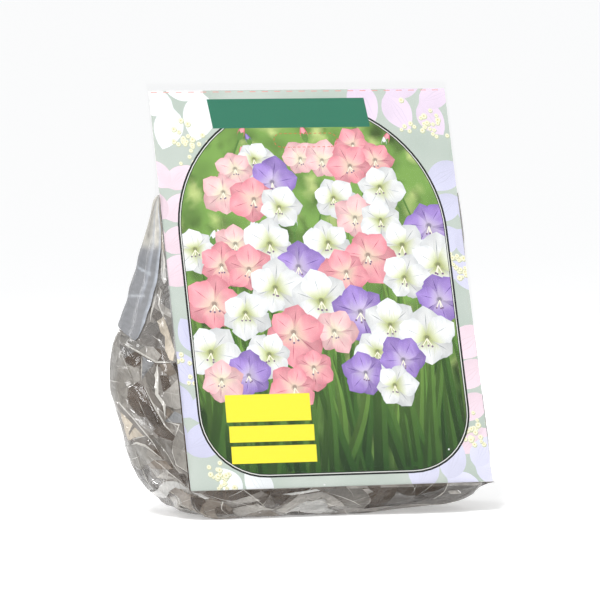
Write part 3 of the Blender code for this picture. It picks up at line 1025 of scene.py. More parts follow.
class CreaseLayer:
    """Flat facets between random corners, which repeat round the bag."""

    def __init__(self, film, spacing, depth, stretch, lean, whitened_and_highlit, half_width, seed):
        draw = np.random.default_rng(seed)
        low, high = -2 * spacing, film.reach + 2 * spacing
        corners = scattered(draw, film.period, low / stretch, high / stretch, spacing)
        levels = draw.uniform(-1, 1, len(corners)) * depth - DENT_BIAS * depth
        copies = np.vstack([corners + (shift * film.period, 0) for shift in (-1, 0, 1)])
        found, _, self.faces, origins, _, _ = delaunay_2d_cdt([Vector(p) for p in copies], [], [], 0, 1e-6)
        flat = np.array(found)
        self.corners = np.column_stack([flat[:, 0] - lean * flat[:, 1] * stretch, flat[:, 1] * stretch])
        self.levels = np.tile(levels, 3)[[origin[0] for origin in origins]]
        raised = [Vector((*corner, level)) for corner, level in zip(self.corners, self.levels)]
        self.tree = BVHTree.FromPolygons(raised, self.faces)
        self.tones = draw.uniform(-1, 1, len(self.faces))
        pairs = sorted({tuple(sorted((f[i - 1], f[i]))) for f in self.faces for i in range(3)})
        ends = self.corners[np.array(pairs)]
        inside = ((ends.max(axis=1) > 0) & (ends.min(axis=1) < (film.period, film.reach))).all(axis=1)
        self.creases = ends[inside]
        self.ribbons = self.whitened_and_highlit(draw, whitened_and_highlit, half_width)

    def whitened_and_highlit(self, draw, share, half_width):
        """Narrow strips along some of the creases, each with how pale it is: partly stress whitening, partly a
        painted highlight.
        """
        ribbons = []
        for start, end in self.creases[draw.uniform(0, 1, len(self.creases)) < share]:
            first = draw.uniform(0, 0.3)
            last = draw.uniform(0.7, 1)
            points = start + (end - start) * np.array([[first], [(first + last) / 2], [last]])
            strip = band(points, half_width * draw.uniform(0.5, 1.3))
            ribbons.append((strip, draw.uniform(0.15, 0.8) ** 1.5))
        return ribbons

    def hits(self, flat):
        """How far the film is raised at each point, and the facet that it lies on."""
        down = Vector((0, 0, -1))
        found = [self.tree.ray_cast(Vector((x, y, 50)), down) for x, y in flat]
        lift = np.array([0 if place is None else place.z for place, _, _, _ in found])
        facet = np.array([0 if index is None else index for _, _, index, _ in found])
        return lift, facet


def scattered(draw, period, low, high, spacing):
    """Random corners at about this spacing, round a band that closes on itself, with none very close."""
    wanted = int(period * (high - low) / spacing**2)
    corners = np.zeros((0, 2))
    for candidate in draw.uniform((0, low), (period, high), (wanted * 6, 2)):
        offset = np.abs(corners - candidate)
        offset[:, 0] = np.minimum(offset[:, 0], period - offset[:, 0])
        if not len(corners) or np.hypot(*offset.T).min() > 0.55 * spacing:
            corners = np.vstack([corners, candidate])
        if len(corners) == wanted:
            break
    return corners


def band(points, half_width):
    """A narrow strip along a route, pointed at both ends, given as its outline."""
    points = np.array(points, float)
    along = np.gradient(points, axis=0)
    along /= np.linalg.norm(along, axis=1, keepdims=True)
    side = np.column_stack([-along[:, 1], along[:, 0]]) * half_width
    return np.vstack([points[0], (points + side)[1:-1], points[-1], (points - side)[-2:0:-1]])


class FlatCut:
    """Points and edges of the unrolled film, to be cut into triangles."""

    def __init__(self, film):
        self.film = film
        self.points = []
        self.edges = []

    def line(self, points, closed=False):
        first = len(self.points)
        self.points += [tuple(point) for point in points]
        last = len(self.points)
        self.edges += [(k, k + 1) for k in range(first, last - 1)]
        if closed:
            self.edges.append((last - 1, first))

    def lattice(self, low, high, step, draw):
        """Loose points over a box, with a little disorder."""
        spans = [np.arange(a + step / 2, b, step) for a, b in zip(low, high)]
        across, up = np.meshgrid(*spans)
        flat = np.column_stack([across.ravel(), up.ravel()])
        self.points += [tuple(p) for p in flat + draw.uniform(-0.2, 0.2, flat.shape) * step]

    def triangles(self):
        found, _, faces, _, _, _ = delaunay_2d_cdt(
            [Vector(point) for point in self.points], self.edges, [], 0, 0.004, False
        )
        flat, faces = np.array(found), np.array(faces)
        middles = flat[faces].mean(axis=1)
        inside = ((middles > 0) & (middles < (self.film.period, self.film.reach))).all(axis=1)
        return flat, faces[inside], middles[inside]


def cut_film(film, layers, vents, folds, lines):
    """The unrolled film cut along its creases, at the card's edges and round its vents."""
    draw = np.random.default_rng(12)
    cut = FlatCut(film)
    foot, clear = film.level(film.plane.foot[2]), film.level(CLEAR_ABOVE)
    floor = film.up[BASE_RINGS]
    card, edge = film.across[FRONT_COLUMNS], film.across[FRONT_COLUMNS + RIGHT_CLEAR]
    for across in (0, card, edge, film.period):
        levels = np.concatenate([np.arange(0, film.reach, FINE_STEP), [film.reach]])
        cut.line([(across, up) for up in levels])
    for up in (0, floor, foot, clear, film.reach):
        step = FINE_STEP if up else COARSE_STEP
        places = np.linspace(0, film.period, int(film.period / step))
        cut.line([(across, up) for across in places])
    cut.lattice((0, 0), (film.period, floor), COARSE_STEP, draw)
    cut.lattice((0, floor), (edge, foot), FINE_STEP, draw)
    cut.lattice((0, foot), (edge, film.reach), COARSE_STEP, draw)
    cut.lattice((edge, floor), (film.period, film.reach), FINE_STEP, draw)
    for layer in layers:
        for crease in layer.creases:
            cut.line(crease)
        for outline, _ in layer.ribbons:
            cut.line(outline, closed=True)
            cut.points.append(tuple((outline[0] + outline[2]) / 2))
    sparks = [round_outline(place, GLINT_RADIUS, GLINT_SIDES) for place in GLINTS]
    laid = [outline for _, _, outline in folds] + [outline for outline, _ in lines]
    for outline in [*vents, *laid, *sparks]:
        cut.line(outline, closed=True)
    return cut.triangles()


def vent_outlines(film):
    """Round holes in the unrolled film: two on the left side and two at the back."""
    outlines = []
    for index, height in enumerate(VENT_HEIGHTS):
        row = np.argmin(np.abs(film.heights - height))
        ring = film.grid[row]
        squeeze = film.period / film.perimeters[row]
        back = np.abs(ring[:, 0] - film.plane.middle - (index * 2 - 1) * VENT_SIDE)
        back[: FRONT_COLUMNS + 30] = back[-30:] = 1
        for column in (np.argmin(ring[:, 0]), np.argmin(back)):
            circle = round_outline((0, 0), VENT_RADIUS / MM, 28) * (squeeze, 1)
            outlines.append(circle + (film.across[column], film.up[row]))
    return outlines


def film_slack(film):
    """How loose the film is in each row and column, from 0 where it lies tight on the card to 1."""
    column = np.arange(film.cols)
    off_card = column > FRONT_COLUMNS
    from_edge = np.where(off_card, np.minimum(film.cols - column, column - FRONT_COLUMNS), 0)
    beside = np.clip(from_edge / SLACK_COLUMNS, 0, 1)
    height = film.grid[..., 2]
    below = np.clip((film.plane.foot[2] - height) / SLACK_BELOW, 0, 1)
    loose = np.where(off_card[None], beside[None], below)
    at_back = ((column > FRONT_COLUMNS + BACK_COLUMNS) & (column < film.cols - BACK_COLUMNS))[None]
    high = np.where(at_back, np.interp(height, *BACK_SLACK), np.interp(height, *SIDE_SLACK))
    low = np.interp(height, *FLOOR_SLACK)
    return (loose * high * low)[..., None]


def ridge_lifts(flat, layers):
    """How far each point is raised, which is only the middle of each pale crease ribbon."""
    middles = [(outline[0] + outline[2]) / 2 for layer in layers for outline, _ in layer.ribbons]
    tree = KDTree(len(flat))
    for i, (x, y) in enumerate(flat):
        tree.insert((x, y, 0), i)
    tree.balance()
    lifts = np.zeros(len(flat))
    for x, y in middles:
        _, index, distance = tree.find((x, y, 0))
        if distance < 0.05:
            lifts[index] = RIDGE_LIFT
    return lifts


def joined_tree(nodes):
    """A search tree of several solids together."""
    points, faces = [], []
    for node in nodes:
        start = len(points)
        points += [v.co for v in node.data.vertices]
        faces += [tuple(start + i for i in p.vertices) for p in node.data.polygons]
    return BVHTree.FromPolygons(points, faces)


def push_clear(points, tree, clearance):
    """Film that dents into a corm moves out again until it is clear."""
    for i, point in enumerate(points):
        near, normal, _, _ = tree.find_nearest(Vector(point), 0.02)
        if near and (Vector(point) - near).dot(normal) < clearance:
            points[i] = np.array(near + normal * clearance)
    return points


# From this height in metres on the card is close behind the film, whose dents are turned outwards. This comes
# in over BEHIND_BLEND millimetres. There a dent stands out by its depth times BEHIND_TURN less 1.
CARD_BEHIND = 0.120
BEHIND_BLEND = 40.0
BEHIND_TURN = 1.6
# Slack film hangs low under the card's right corner: where on the unrolled film, how far out, and how wide
# and high that place is.
SWELL_PLACE = (132.0, 60.0)
SWELL_LIFT = 4.0
SWELL_SIZE = (24.0, 11.0)


def swell(flat):
    reach = (flat - SWELL_PLACE) / SWELL_SIZE
    return SWELL_LIFT * np.exp(-(reach**2).sum(axis=1))


CLEAR, THIN, HAZY, MILKY, TIGHT = range(5)
# Film tones as the lit film looks: dark and dusk are painted shade with the corms showing through, pale, white
# and cream are painted highlights, and grey, ash, blue and brown are the film's haziness.
FILM_TONES = {
    "dark": ((96, 91, 86), THIN),
    "dusk": ((114, 108, 102), THIN),
    "brown": ((148, 138, 127), HAZY),
    "ash": ((132, 129, 124), HAZY),
    "grey": ((163, 160, 154), HAZY),
    "blue": ((160, 163, 166), HAZY),
    "pale": ((180, 176, 170), MILKY),
    "white": ((214, 213, 210), MILKY),
    "cream": ((216, 204, 186), MILKY),
}
# Folds and pressed places of the film on its left side and under the card: a tone, how far the place is
# raised, and its outline, in millimetres round from the card's left edge and up from the foot's middle.
# Their tones are painted light: pale, white and cream folds are painted highlights, dark and dusk ones
# painted shade, with a painted shadow under the card's right half.
FOLDS = (
    ("grey", -0.2, ((-39.5, 144.5), (-31, 143), (-26.5, 135.5), (-20.5, 133), (-20.5, 127.5),
     (-27.5, 123.5), (-29, 117.5), (-39.5, 115.5), (-39.5, 133.5))),
    ("dusk", 0, ((-13, 157.5), (-5, 157.5), (-1.5, 144.5), (-5.5, 142.5), (-8, 140), (-12, 144),
     (-16.5, 144), (-20, 147.5))),
    ("dark", -0.3, ((-4.5, 174.5), (0, 183), (0, 164.5), (-5.5, 168.5))),
    ("cream", 0, ((0.3, 226), (0.3, 196), (-3, 200), (-1.6, 207), (-1.8, 222), (-2.5, 226))),
    ("white", 0.3, ((-2, 200), (-0.3, 193), (-0.5, 182), (-2.5, 180), (-4, 185), (-2.5, 193))),
    ("cream", 0.5, ((-8.5, 158.5), (-4.5, 161.5), (-2, 151), (0, 141.5), (-1.5, 137), (-3.5, 137.5),
     (-5.5, 142.5), (-5, 149), (-7.5, 151.5))),
    ("ash", 0.3, ((-37.5, 149.5), (-30, 146), (-20, 141), (-16.5, 144), (-21.5, 146.5), (-27, 149))),
    ("pale", 0.5, ((-20, 141), (-11.5, 136.5), (-10, 137), (-8, 140), (-12, 144), (-16.5, 144))),
    ("dark", 0.4, ((-31, 145), (-18.5, 139.5), (-20, 134.5), (-23, 133.5), (-27.5, 135.5), (-29.5, 139.5))),
    ("blue", 0.3, ((-18, 139), (-12, 136), (-17.5, 130.5), (-19.5, 127.5))),
    ("ash", -0.3, ((-12, 136), (-11.5, 128.5), (-13.5, 120.5), (-17.5, 126.5), (-17.5, 130.5))),
    ("dusk", 0.4, ((-22.5, 126.5), (-19.5, 124.5), (-15.5, 115.5), (-10, 106), (-4.5, 100.5), (-6, 98),
     (-15, 100), (-20.5, 105.5), (-24.5, 110), (-28, 115.5), (-28.5, 118.5), (-27, 123))),
    ("dark", 0.2, ((-22.5, 118.5), (-17.5, 115.5), (-12.5, 105.5), (-17.5, 105.5), (-22.5, 111.5))),
    ("brown", -0.3, ((-9.5, 135.5), (-3, 136), (-0.5, 131), (-4.5, 129.5), (-8.5, 132.5))),
    ("dark", -0.3, ((-2, 136), (0, 136.5), (0, 130.5))),
    ("dusk", -0.2, ((-10, 130), (-6, 130), (-4, 125), (-9.5, 120.5))),
    ("pale", 0.4, ((-11, 121), (-4, 125), (1, 129), (0.5, 114), (-3, 113.5), (-9, 115.5))),
    ("brown", -0.3, ((-8.5, 114.5), (-4.5, 112.5), (-9, 108.5))),
    ("blue", 0.4, ((-9.5, 107.5), (-3.5, 112.5), (0, 111), (0.5, 107), (-8, 107))),
    ("cream", 0.4, ((-35, 110.5), (-33, 109), (-28.5, 105), (-37.5, 96))),
    ("cream", 0.4, ((-27.5, 103.5), (-23.5, 99.5), (-36, 96.5))),
    ("grey", 0.5, ((-38.5, 94), (-29, 95), (-23.5, 94.5), (-17, 90), (-14.5, 88.5), (-19.5, 88),
     (-26, 85), (-37.5, 82), (-39.5, 86))),
    ("ash", -0.3, ((-22, 98), (-15.5, 99.5), (-6, 97.5), (-7, 86.5), (-12, 88), (-17.5, 94.5))),
    ("grey", 0.5, ((-5, 99), (-2, 105), (0.5, 106), (1.5, 87.5), (0.5, 83), (-2.5, 84.5), (-5.5, 86.5),
     (-7.5, 92.5))),
    ("brown", 0.3, ((-26, 85), (-19.5, 88), (-13.5, 88), (-9, 84.5), (-14.5, 83.5), (-23, 83))),
    ("pale", 0.4, ((-22.5, 78.5), (-16.5, 82), (-8.5, 79.5), (-16, 78))),
    ("dark", -0.3, ((-6.5, 82.5), (-2.5, 82.5), (1, 80), (-3, 75.5))),
    ("white", 0.5, ((-38.5, 69), (-15, 77.5), (-8.5, 78), (-0.5, 74), (-9, 73.5), (-20.5, 68.5),
     (-26.5, 63), (-34, 64.5))),
    ("dark", -0.3, ((-41, 83), (-25, 82.5), (-27, 78), (-17, 77.5), (-36, 69.5), (-46, 70), (-48, 75))),
    ("brown", 0.4, ((-19, 69.5), (-9.5, 74.5), (-2.5, 71), (6, 66), (9, 62.5), (6, 42.5), (1, 47.5),
     (-5.5, 63.5))),
    ("dark", 0.2, ((0, 67.5), (6.5, 65), (9, 61.5), (6.5, 44.5), (3.5, 49.5))),
    ("pale", 0.4, ((-21.5, 64.5), (-9.5, 63.5), (0.5, 48), (-14.5, 53))),
    ("white", 0.4, ((0.5, 72.5), (5, 71), (10, 65.5), (8, 64), (3.5, 69.5))),
    ("dusk", -0.2, ((8, 72.5), (34.5, 72.5), (35, 71), (20, 61.5), (10.5, 65.5))),
    ("brown", 0.4, ((9, 63.5), (10.5, 65.5), (16, 63), (24, 51.5), (18.5, 30.5), (0.5, 35))),
    ("dusk", 0.2, ((15, 56), (19.5, 57), (20.5, 36.5), (10, 38))),
    ("pale", 0.4, ((19.5, 60), (29.5, 67.5), (36, 63), (30, 59.5), (23.5, 57))),
    ("pale", 0.5, ((24, 51.5), (35.5, 59), (50, 47), (41, 48), (21.5, 31.5))),
    ("brown", 0.3, ((23.5, 32.5), (38, 48.5), (48, 45.5), (56, 36), (42.5, 30.5))),
    ("dark", -0.3, ((35, 72), (60.5, 72.5), (51.5, 66), (48.5, 51), (41, 66))),
    ("white", 0.4, ((46, 67.5), (62.5, 71.5), (65, 70), (51.5, 66))),
    ("pale", 0.4, ((51, 45.5), (54.5, 66), (66, 69), (80, 58), (91.5, 49.5), (79.5, 51), (63, 53),
     (59, 40.5))),
    ("white", 0.6, ((58.5, 41.5), (61, 58), (64.5, 59), (71, 60), (82.5, 47.5), (100, 39), (88, 37.5))),
    ("dark", -0.3, ((59, 38.5), (87.5, 36.5), (91.5, 30.5), (67.5, 31))),
    ("ash", -0.2, ((65.5, 71), (85.5, 71), (105.5, 46.5), (93, 48), (80, 58))),
    ("dark", -0.3, ((85.5, 71), (114.5, 71), (123, 61.5), (122, 51), (108.5, 45))),
    ("dark", -0.2, ((114.5, 71), (152, 71), (149, 58), (127, 50), (121, 57))),
    ("pale", 0.3, ((86, 70), (89, 70.5), (92.5, 67), (91, 64))),
    ("pale", 0.2, ((129.5, 67), (135, 67.5), (137.5, 65), (133, 64))),
)
# Long creases painted as bright highlight lines: half their width, how white they are, and their route.
CREASE_LINES = (
    (0.45, 1, ((-30, 146), (-20, 141), (-11.5, 136.5), (-6.5, 136.5), (-3, 136.5))),
    (0.4, 0.8, ((-19.5, 125.5), (-14, 113), (-10, 105.5), (-4.5, 100.5))),
    (0.9, 1, ((-10.5, 135.5), (-11.5, 130.5), (-13, 121), (-9.5, 115.5), (-9.5, 108.5))),
    (0.5, 1, ((-9.5, 107.5), (-2, 106), (-4.5, 100.5))),
    (0.4, 0.7, ((-38.5, 115.5), (-34, 115.5), (-27, 107.5), (-21, 99.5), (-15, 90))),
    (0.5, 0.9, ((-38, 94), (-28.5, 95.5), (-23.5, 94.5), (-14.5, 88.5))),
    (0.5, 0.9, ((-23, 78), (-8.5, 79.5))),
    (0.5, 0.9, ((-21.5, 65), (-9.5, 64), (0.5, 48))),
    (0.7, 0.9, ((-6.5, 182.5), (-9.5, 169.5), (-12.5, 157.5))),
    (0.5, 0.8, ((-4.5, 177.5), (-7, 167.5), (-4.5, 160.5))),
    (0.9, 0.9, ((-1.5, 199.5), (-0.5, 191.5), (-3, 184))),
    (0.35, 0.6, ((66, 69), (81.5, 60), (104.5, 47.5))),
    (0.35, 0.6, ((-18.5, 139.5), (-19, 134), (-20, 127))),
    (0.4, 0.8, ((8.5, 64), (17, 62), (18, 30))),
    (0.35, 0.7, ((-5.5, 142.5), (-9, 147.5), (-13, 150))),
    (0.4, 0.7, ((-6, 98), (-7.5, 92.5), (-6.5, 86.5), (1.5, 82.5))),
)
LINE_STRENGTH = 0.8
CREASE_SHADOW = (0.7, -0.35)  # how far beside a long crease its painted shadow lies, and how dark it is
FOLD_SHADE = 0.45  # painted shade: how much darker one end of a fold is than the other
# Small white spots painted as glints on the tight film over the card.
GLINTS = ((150.5, 81.0), (146.5, 99.5), (130.5, 90.5), (66.5, 74.5))
GLINT_RADIUS = 0.5
GLINT_SIDES = 7


def film_colour(tone):
    """A shader colour for film that is to look like this tone, with the light that it mirrors taken off."""
    return np.clip(linear(tone) - 0.055, 0.01, 0.9)


def round_the_bag(film, points):
    """An outline on the unrolled film, with its copy at the other end where it passes the left edge."""
    points = np.array(points, float)
    copies = [points + (shift, 0) for shift in (0, film.period)]
    return [copy for copy in copies if copy[:, 0].max() > 0 and copy[:, 0].min() < film.period]


def laid_folds(film):
    """The folds and the long creases with their painted shadows beside them, with their copies at the film's
    other end.
    """
    folds = [
        (tone, lift, copy) for tone, lift, outline in FOLDS for copy in round_the_bag(film, outline)
    ]
    lines = []
    for half_width, white, route in CREASE_LINES:
        side, dark = CREASE_SHADOW
        shadow = np.array(route, float) - (side, 0)
        lines += [(copy, dark) for copy in round_the_bag(film, band(shadow, half_width))]
        lines += [(copy, LINE_STRENGTH * white) for copy in round_the_bag(film, band(route, half_width))]
    return folds, lines


def facet_finish(layers, middles):
    """Each triangle's colour and material slot from the random facets that it lies on. The colour is a random
    tone per facet, from dusk to pale: partly the film's haziness, partly painted light and shade for how each
    facet catches the light.
    """
    tone = np.full(len(middles), 0.45)
    choice = np.zeros(len(middles))
    for layer, weight in zip(layers, (0.34, 0.24, 0.12)):
        _, facet = layer.hits(middles)
        tone += weight * layer.tones[facet]
        choice += weight * np.sin(layer.tones[facet] * 50)
    share = np.clip(tone, 0, 1)[:, None]
    dark, pale = (film_colour(FILM_TONES[name][0]) for name in ("dusk", "pale"))
    slots = np.where(choice < -0.30, THIN, np.where(choice > 0.36, MILKY, HAZY))
    return dark * (1 - share) + pale * share, slots


def paint_folds(colours, slots, folds, middles):
    """Each fold gets its tone, with painted shade that darkens it from one end to the other in a random
    direction.
    """
    draw = np.random.default_rng(53)
    for name, _, outline in folds:
        colour, slot = FILM_TONES[name]
        within = inside_outline(outline, middles)
        heading = draw.uniform(0, 2 * math.pi)
        if not within.any():
            continue
        along = middles[within] @ (math.cos(heading), math.sin(heading))
        middle = (along.max() + along.min()) / 2
        ramp = 1 + FOLD_SHADE * (along - middle) / max(np.ptp(along), 1)
        colours[within] = (film_colour(colour) * 0.8 + colours[within] * 0.2) * ramp[:, None]
        slots[within] = slot


def thin_out(film, layer, slots, middles):
    """Makes the film clear where it lies tight on the card, and thinner towards the top of the back."""
    foot, clear = film.level(film.plane.foot[2]), film.level(CLEAR_ABOVE)
    edge = film.across[FRONT_COLUMNS + RIGHT_CLEAR]
    right, left = film.across[[FRONT_COLUMNS + BACK_COLUMNS, film.cols - BACK_COLUMNS]]
    across, up = middles.T
    back = (across >= right) & (across <= left)
    ragged = clear + BACK_RAGGED * layer.tones[layer.hits(middles)[1]]
    slots[back & (up > ragged)] = THIN
    slots[back & (up > ragged + 1.5 * BACK_RAGGED)] = TIGHT
    slots[(up > clear) & (~back | (up > film.level(BACK_CLEAR_ABOVE)))] = CLEAR
    slots[(across < edge) & (up > foot)] = CLEAR


def film_finish(film, layers, folds, lines, middles):
    """Each triangle's colour and material slot."""
    colours, slots = facet_finish(layers, middles)
    paint_folds(colours, slots, folds, middles)
    ribbons = [ribbon for layer in layers for ribbon in layer.ribbons]
    # Painted highlights along the creases, partly stress whitening, and painted shadows beside the long
    # creases.
    for outline, white in [*ribbons, *lines]:
        paint_crease_whitening_and_light(colours, slots, inside_outline(outline, middles), white)
    grain = 1 + 0.09 * mottle(middles, 51, 3.0) + 0.07 * mottle(middles, 52, 1.4)
    colours *= grain[:, None]
    thin_out(film, layers[0], slots, middles)
    # Painted glints: white spots on the clear film.
    for place in GLINTS:
        spark = inside_outline(round_outline(place, GLINT_RADIUS, GLINT_SIDES), middles)
        slots[spark] = MILKY
        colours[spark] = 0.9
    return colours, slots


def paint_crease_whitening_and_light(colours, slots, chosen, white):
    """Creases are painted pale as highlights, partly also stress whitening, and darkened as a painted shadow
    where the value is below zero.
    """
    shade = film_colour((232, 229, 222)) if white > 0 else film_colour((92, 87, 82))
    colours[chosen] = colours[chosen] * (1 - abs(white)) + shade * abs(white)
    if white > 0.4:
        slots[chosen] = MILKY


def crinkled_film(name, alpha, roughness=0.3, coat=0.8):
    """Glossy film whose colour is its haziness with painted highlights and painted shade, faintly clouded and
    crinkled.
    """
    made, nodes, links, shader = new_material(
        name,
        Roughness=roughness,
        Alpha=alpha,
        IOR=1.4,
        Coat_Weight=coat,
        Coat_Roughness=0.06,
        Coat_IOR=1.55,
    )
    # The colour attribute holds the film's haziness together with its painted highlights and painted shade.
    haze_and_painted_light = nodes.new("ShaderNodeVertexColor")
    haze_and_painted_light.layer_name = "haze_and_painted_light"
    cloud = add_node(nodes, "ShaderNodeTexNoise", Scale=120.0, Detail=4.0)
    blend = nodes.new("ShaderNodeMix")
    blend.data_type = "RGBA"
    blend.blend_type = "MULTIPLY"
    blend.inputs[0].default_value = 1.0
    links.new(haze_and_painted_light.outputs["Color"], blend.inputs[6])
    stops = ((0.3, (0.84, 0.84, 0.84)), (0.7, (1, 1, 1)))
    add_ramp(nodes, links, cloud.outputs["Fac"], blend.inputs[7], stops)
    links.new(blend.outputs[2], shader.inputs["Base Color"])
    crinkle = add_node(nodes, "ShaderNodeTexNoise", Scale=350.0, Detail=3.0)
    add_bump(nodes, links, shader, crinkle, 0.2, 0.0003)
    return made


def film_materials():
    """The bag's finishes, in the order of their slots."""
    clear, _, _, _ = new_material(
        "film_on_card", Base_Color=(0.25, 0.26, 0.27, 1), Roughness=0.06, Alpha=0.03
    )
    return [
        clear,
        crinkled_film("film_thin", 0.58),
        crinkled_film("film_crinkled", 0.76),
        crinkled_film("film_milky", 0.90),
        crinkled_film("film_tight", 0.26),
    ]


def film_mesh(name, points, faces, colours, slots, centre, foot_ring):
    """The film's mesh, closed under its foot by a fan round the middle."""
    used, renumbered = np.unique(faces, return_inverse=True)
    faces = renumbered.reshape(-1, 3)
    where = {int(old): new for new, old in enumerate(used)}
    fan = [(len(used), where[b], where[a]) for a, b in zip(foot_ring, foot_ring[1:])]
    mesh = bpy.data.meshes.new(name)
    mesh.from_pydata([*map(tuple, points[used]), tuple(centre)], [], [*faces.tolist(), *fan])
    mesh.polygons.foreach_set("material_index", [*slots.tolist(), *[HAZY] * len(fan)])
    shades = np.ones((len(mesh.polygons), 3, 4), np.float32)
    shades[: len(faces), :, :3] = colours[:, None]
    shades[len(faces) :, :, :3] = film_colour(FILM_TONES["dusk"][0])
    # Each face's colour: the film's haziness with painted highlights and painted shade.
    haze_and_painted_light = mesh.color_attributes.new("haze_and_painted_light", "FLOAT_COLOR", "CORNER")
    haze_and_painted_light.data.foreach_set("color", shades.ravel())
    with edited(mesh) as shape:
        bmesh.ops.remove_doubles(shape, verts=shape.verts, dist=1e-5)
    return mesh


def film_lift(film, layers, folds, flat):
    """How far each point of the film stands out from the smooth bag, in millimetres."""
    lift = sum(layer.hits(flat)[0] for layer in layers) + ridge_lifts(flat, layers)
    lift *= film.sample(film_slack(film), flat)[:, 0]
    for _, raised, outline in folds:
        lift[inside_outline(outline, flat)] += raised
    for outline in round_the_bag(film, flap_outline(FLAP_MARGIN)):
        tucked = inside_outline(outline, flat)
        lift[tucked] = np.minimum(lift[tucked], FLAP_TUCK)
    lift += swell(flat)
    behind = np.clip((flat[:, 1] - film.level(CARD_BEHIND)) / BEHIND_BLEND, 0, 1)
    return np.where(lift < 0, lift * (1 - BEHIND_TURN * behind), lift)


def lowest_ring(film, flat, faces):
    """The points of the film's lower end, in their order round the bag."""
    low = (np.abs(flat[:, 1]) < 1e-4) & (flat[:, 0] > -1e-4) & (flat[:, 0] < film.period + 1e-4)
    ring = np.nonzero(low)[0]
    ring = ring[np.argsort(flat[ring, 0])]
    return ring[np.isin(ring, faces)].tolist()


def make_bag(film, corms_tree):
    layers = [CreaseLayer(film, *numbers) for numbers in CREASES]
    vents = vent_outlines(film)
    folds, lines = laid_folds(film)
    flat, faces, middles = cut_film(film, layers, vents, folds, lines)
    for outline in vents:
        open_air = inside_outline(outline, middles)
        faces, middles = faces[~open_air], middles[~open_air]
    points = film.place(flat, film_lift(film, layers, folds, flat))
    points = push_clear(points, corms_tree, CORM_CLEARANCE)
    points[:, 2] = np.maximum(points[:, 2], 0.0)
    colours, slots = film_finish(film, layers, folds, lines, middles)
    ring = lowest_ring(film, flat, faces)
    mesh = film_mesh("film_bag_film", points, faces, colours, slots, film.centre, ring)
    bag = new_object("film_bag_film", mesh, film_materials())
    mesh.set_sharp_from_angle(angle=SHARP_ANGLE)
    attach(bag, BODY)
    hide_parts("film_bag")


# The slack left side of the bag is folded over: its front and rear edges, each as places up the film and
# round from the card's left edge, in millimetres.
FLAP_TIP = (146.5, -21.5)
FLAP_TOP = 225.0
FLAP_FRONT = (
    FLAP_TIP, (148, -20), (157, -15), (170, -10), (183, -6), (200, -2), (207, -0.9), (FLAP_TOP, -0.9),
)
FLAP_REAR = (
    FLAP_TIP, (148, -24.5), (152, -31), (155, -38), (158, -45), (169, -43), (182, -39),
    (193, -34), (206, -28), (216, -18), (222, -8), (FLAP_TOP, -2),
)
FLAP_TUCK = -0.3  # under the flap the bag's film stands out no further than this, in millimetres
FLAP_MARGIN = 2.0  # and also this far round the flap
FLAP_LIFT = 0.5
FLAP_THICK = 0.7
FLAP_START = 0.1  # how far above its tip the flap's first row of points is
FLAP_ROWS = 90
FLAP_COLUMNS = 36


def flap_edges(up):
    """How far round the bag the flap's front and rear edges are at these places up the film."""
    edges = [np.array(edge).T for edge in (FLAP_FRONT, FLAP_REAR)]
    return [np.interp(up, knots, places) for knots, places in edges]


def flap_outline(grow):
    """The flap's outline on the unrolled film, made larger by so many millimetres."""
    front = [(across + grow, up) for up, across in FLAP_FRONT]
    rear = [(across - grow, up) for up, across in FLAP_REAR[::-1]]
    return [(x, y - grow if y < 150 else y) for x, y in [*front, *rear]]


def nearness(values, middle, width):
    """1 at the middle, falling to 0 this far from it."""
    return np.clip(1 - np.abs(values - middle) / width, 0, 1)


def near_line(t, up, ends, width):
    """1 on a straight line between two places of the flap, falling to 0 beside it."""
    (t0, up0), (t1, up1) = ends
    along = np.clip(((t - t0) * (t1 - t0)) / (t1 - t0) ** 2, 0, 1)
    off = np.abs(up - (up0 + (up1 - up0) * along)) + 40 * np.abs(t - (t0 + (t1 - t0) * along))
    return np.clip(1 - off / width, 0, 1)


def flap_colours(t, up):
    """Bluish film, pale at the top with a painted highlight, a painted highlight along its front edge, painted
    highlight lines along a few fine creases, and greyer patches of painted shade.
    """
    flat = np.column_stack([t * 25, up])
    colours = np.tile(film_colour((158, 159, 162)), (len(t), 1))
    patches = (
        ((224, 220, 210), ((up - 197) / 5).clip(0, 1)),
        ((148, 150, 154), nearness(up, 191, 6) * (1.6 - 2 * t).clip(0, 1)),
        ((196, 193, 186), nearness(up, 181, 6) * (4 * t - 2).clip(0, 1)),
        ((166, 163, 158), ((up - 200) / 4).clip(0, 1) * nearness(t, 0.35, 0.16)),
        ((166, 163, 158), nearness(up, 207, 4) * (t * 3 - 1.2).clip(0, 1)),
        ((206, 212, 220), near_line(t, up, ((0.95, 193), (0.15, 185)), 0.9)),
        ((206, 209, 214), near_line(t, up, ((0.98, 166), (0.55, 171)), 1.3)),
        ((206, 209, 214), near_line(t, up, ((0.55, 171), (0.15, 171.5)), 1.1)),
        ((212, 218, 228), nearness(t, 0, 0.06) ** 0.5),
        ((190, 194, 202), nearness(t, 0.2, 0.04) * ((up - 165) / 8).clip(0, 1)),
    )
    for colour, share in patches:
        share = (share * (0.85 + 0.3 * mottle(flat, 61, 3)))[:, None].clip(0, 1)
        colours = colours * (1 - share) + film_colour(colour) * share
    return colours * (1 + 0.06 * mottle(flat, 62, 2.2))[:, None]


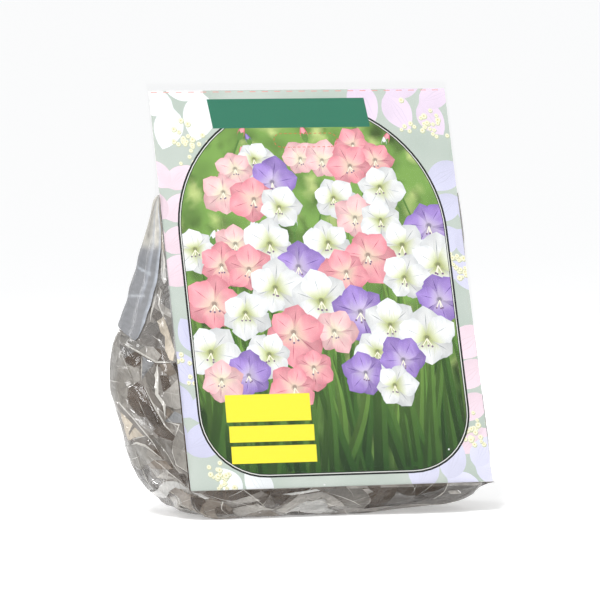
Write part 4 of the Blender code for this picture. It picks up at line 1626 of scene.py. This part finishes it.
def flap_points(film):
    """Rows of points round a flat pouch, how many in a row, and each one's share rearwards and place up."""
    first = FLAP_TIP[0] + FLAP_START
    up = np.linspace(0, 1, FLAP_ROWS) ** 1.4 * (FLAP_TOP - FLAP_TIP[0] - FLAP_START) + first
    outer = (1 - np.cos(np.linspace(0, math.pi, FLAP_COLUMNS))) / 2
    layer = np.concatenate([outer, outer[-2:0:-1]])
    front, rear = (np.repeat(edge, len(layer)) for edge in flap_edges(up))
    rows = np.repeat(up, len(layer))
    share = np.tile(layer, FLAP_ROWS)
    across = front * (1 - share) + rear * share
    bulge = (1 - (2 * share - 1) ** 6) ** 0.5 * np.minimum(1, (front - rear) / 4)
    wave = 0.7 + 0.35 * mottle(np.column_stack([across, rows]), 63, 14) * (1 - share)
    side = np.tile(np.where(np.arange(len(layer)) < FLAP_COLUMNS, 1, -0.2), FLAP_ROWS)
    lift = FLAP_LIFT + side * bulge * FLAP_THICK * wave
    flat = np.column_stack([(across + film.period) % film.period, rows])
    return film.place(flat, lift), len(layer), share, rows


def make_flap(film):
    """The folded-over film, as a flat pouch with rounded edges that lies on the bag's left side."""
    points, count, share, rows = flap_points(film)
    faces = [(a, d, c, b) for a, b, c, d in tube_faces(0, FLAP_ROWS - 1, count)]
    faces += [tuple(range(count))[::-1], tuple(range((FLAP_ROWS - 1) * count, FLAP_ROWS * count))]
    mesh = bpy.data.meshes.new("film_fold")
    mesh.from_pydata([tuple(point) for point in points], [], faces)
    # The flap's colour: its haziness with painted highlights and painted shade.
    haze_and_painted_light = mesh.color_attributes.new("haze_and_painted_light", "FLOAT_COLOR", "POINT")
    shades = np.ones((len(points), 4), np.float32)
    shades[:, :3] = flap_colours(share, rows)
    haze_and_painted_light.data.foreach_set("color", shades.ravel())
    with edited(mesh) as shape:
        ends = [face for face in shape.faces if len(face.verts) > 4]
        bmesh.ops.triangulate(shape, faces=ends)
    flap = new_object("film_fold", mesh, [crinkled_film("film_folded", 0.82, 0.5, 0.2)])
    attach(flap, BODY)


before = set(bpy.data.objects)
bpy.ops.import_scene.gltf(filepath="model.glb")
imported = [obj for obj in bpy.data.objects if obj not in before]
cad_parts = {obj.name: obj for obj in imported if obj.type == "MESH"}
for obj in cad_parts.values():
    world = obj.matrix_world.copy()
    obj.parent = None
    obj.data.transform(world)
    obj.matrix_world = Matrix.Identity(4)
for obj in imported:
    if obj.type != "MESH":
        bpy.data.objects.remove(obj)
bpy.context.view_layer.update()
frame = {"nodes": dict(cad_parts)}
card_plane = CardPlane(frame["nodes"]["picture_card"])
aim = (
    card_plane.foot[0] + AIM_FROM_CARD[0],
    card_plane.foot[1] + AIM_FROM_CARD[1],
    AIM_HEIGHT,
)
add_camera(aim)
add_world()
add_floor()
add_lights(aim)
make_card(card_plane)
corms = make_corms(frame["nodes"])
film_map = FilmMap(BagShape(frame["nodes"]["film_bag"], card_plane), card_plane)
make_bag(film_map, joined_tree(corms))
make_flap(film_map)
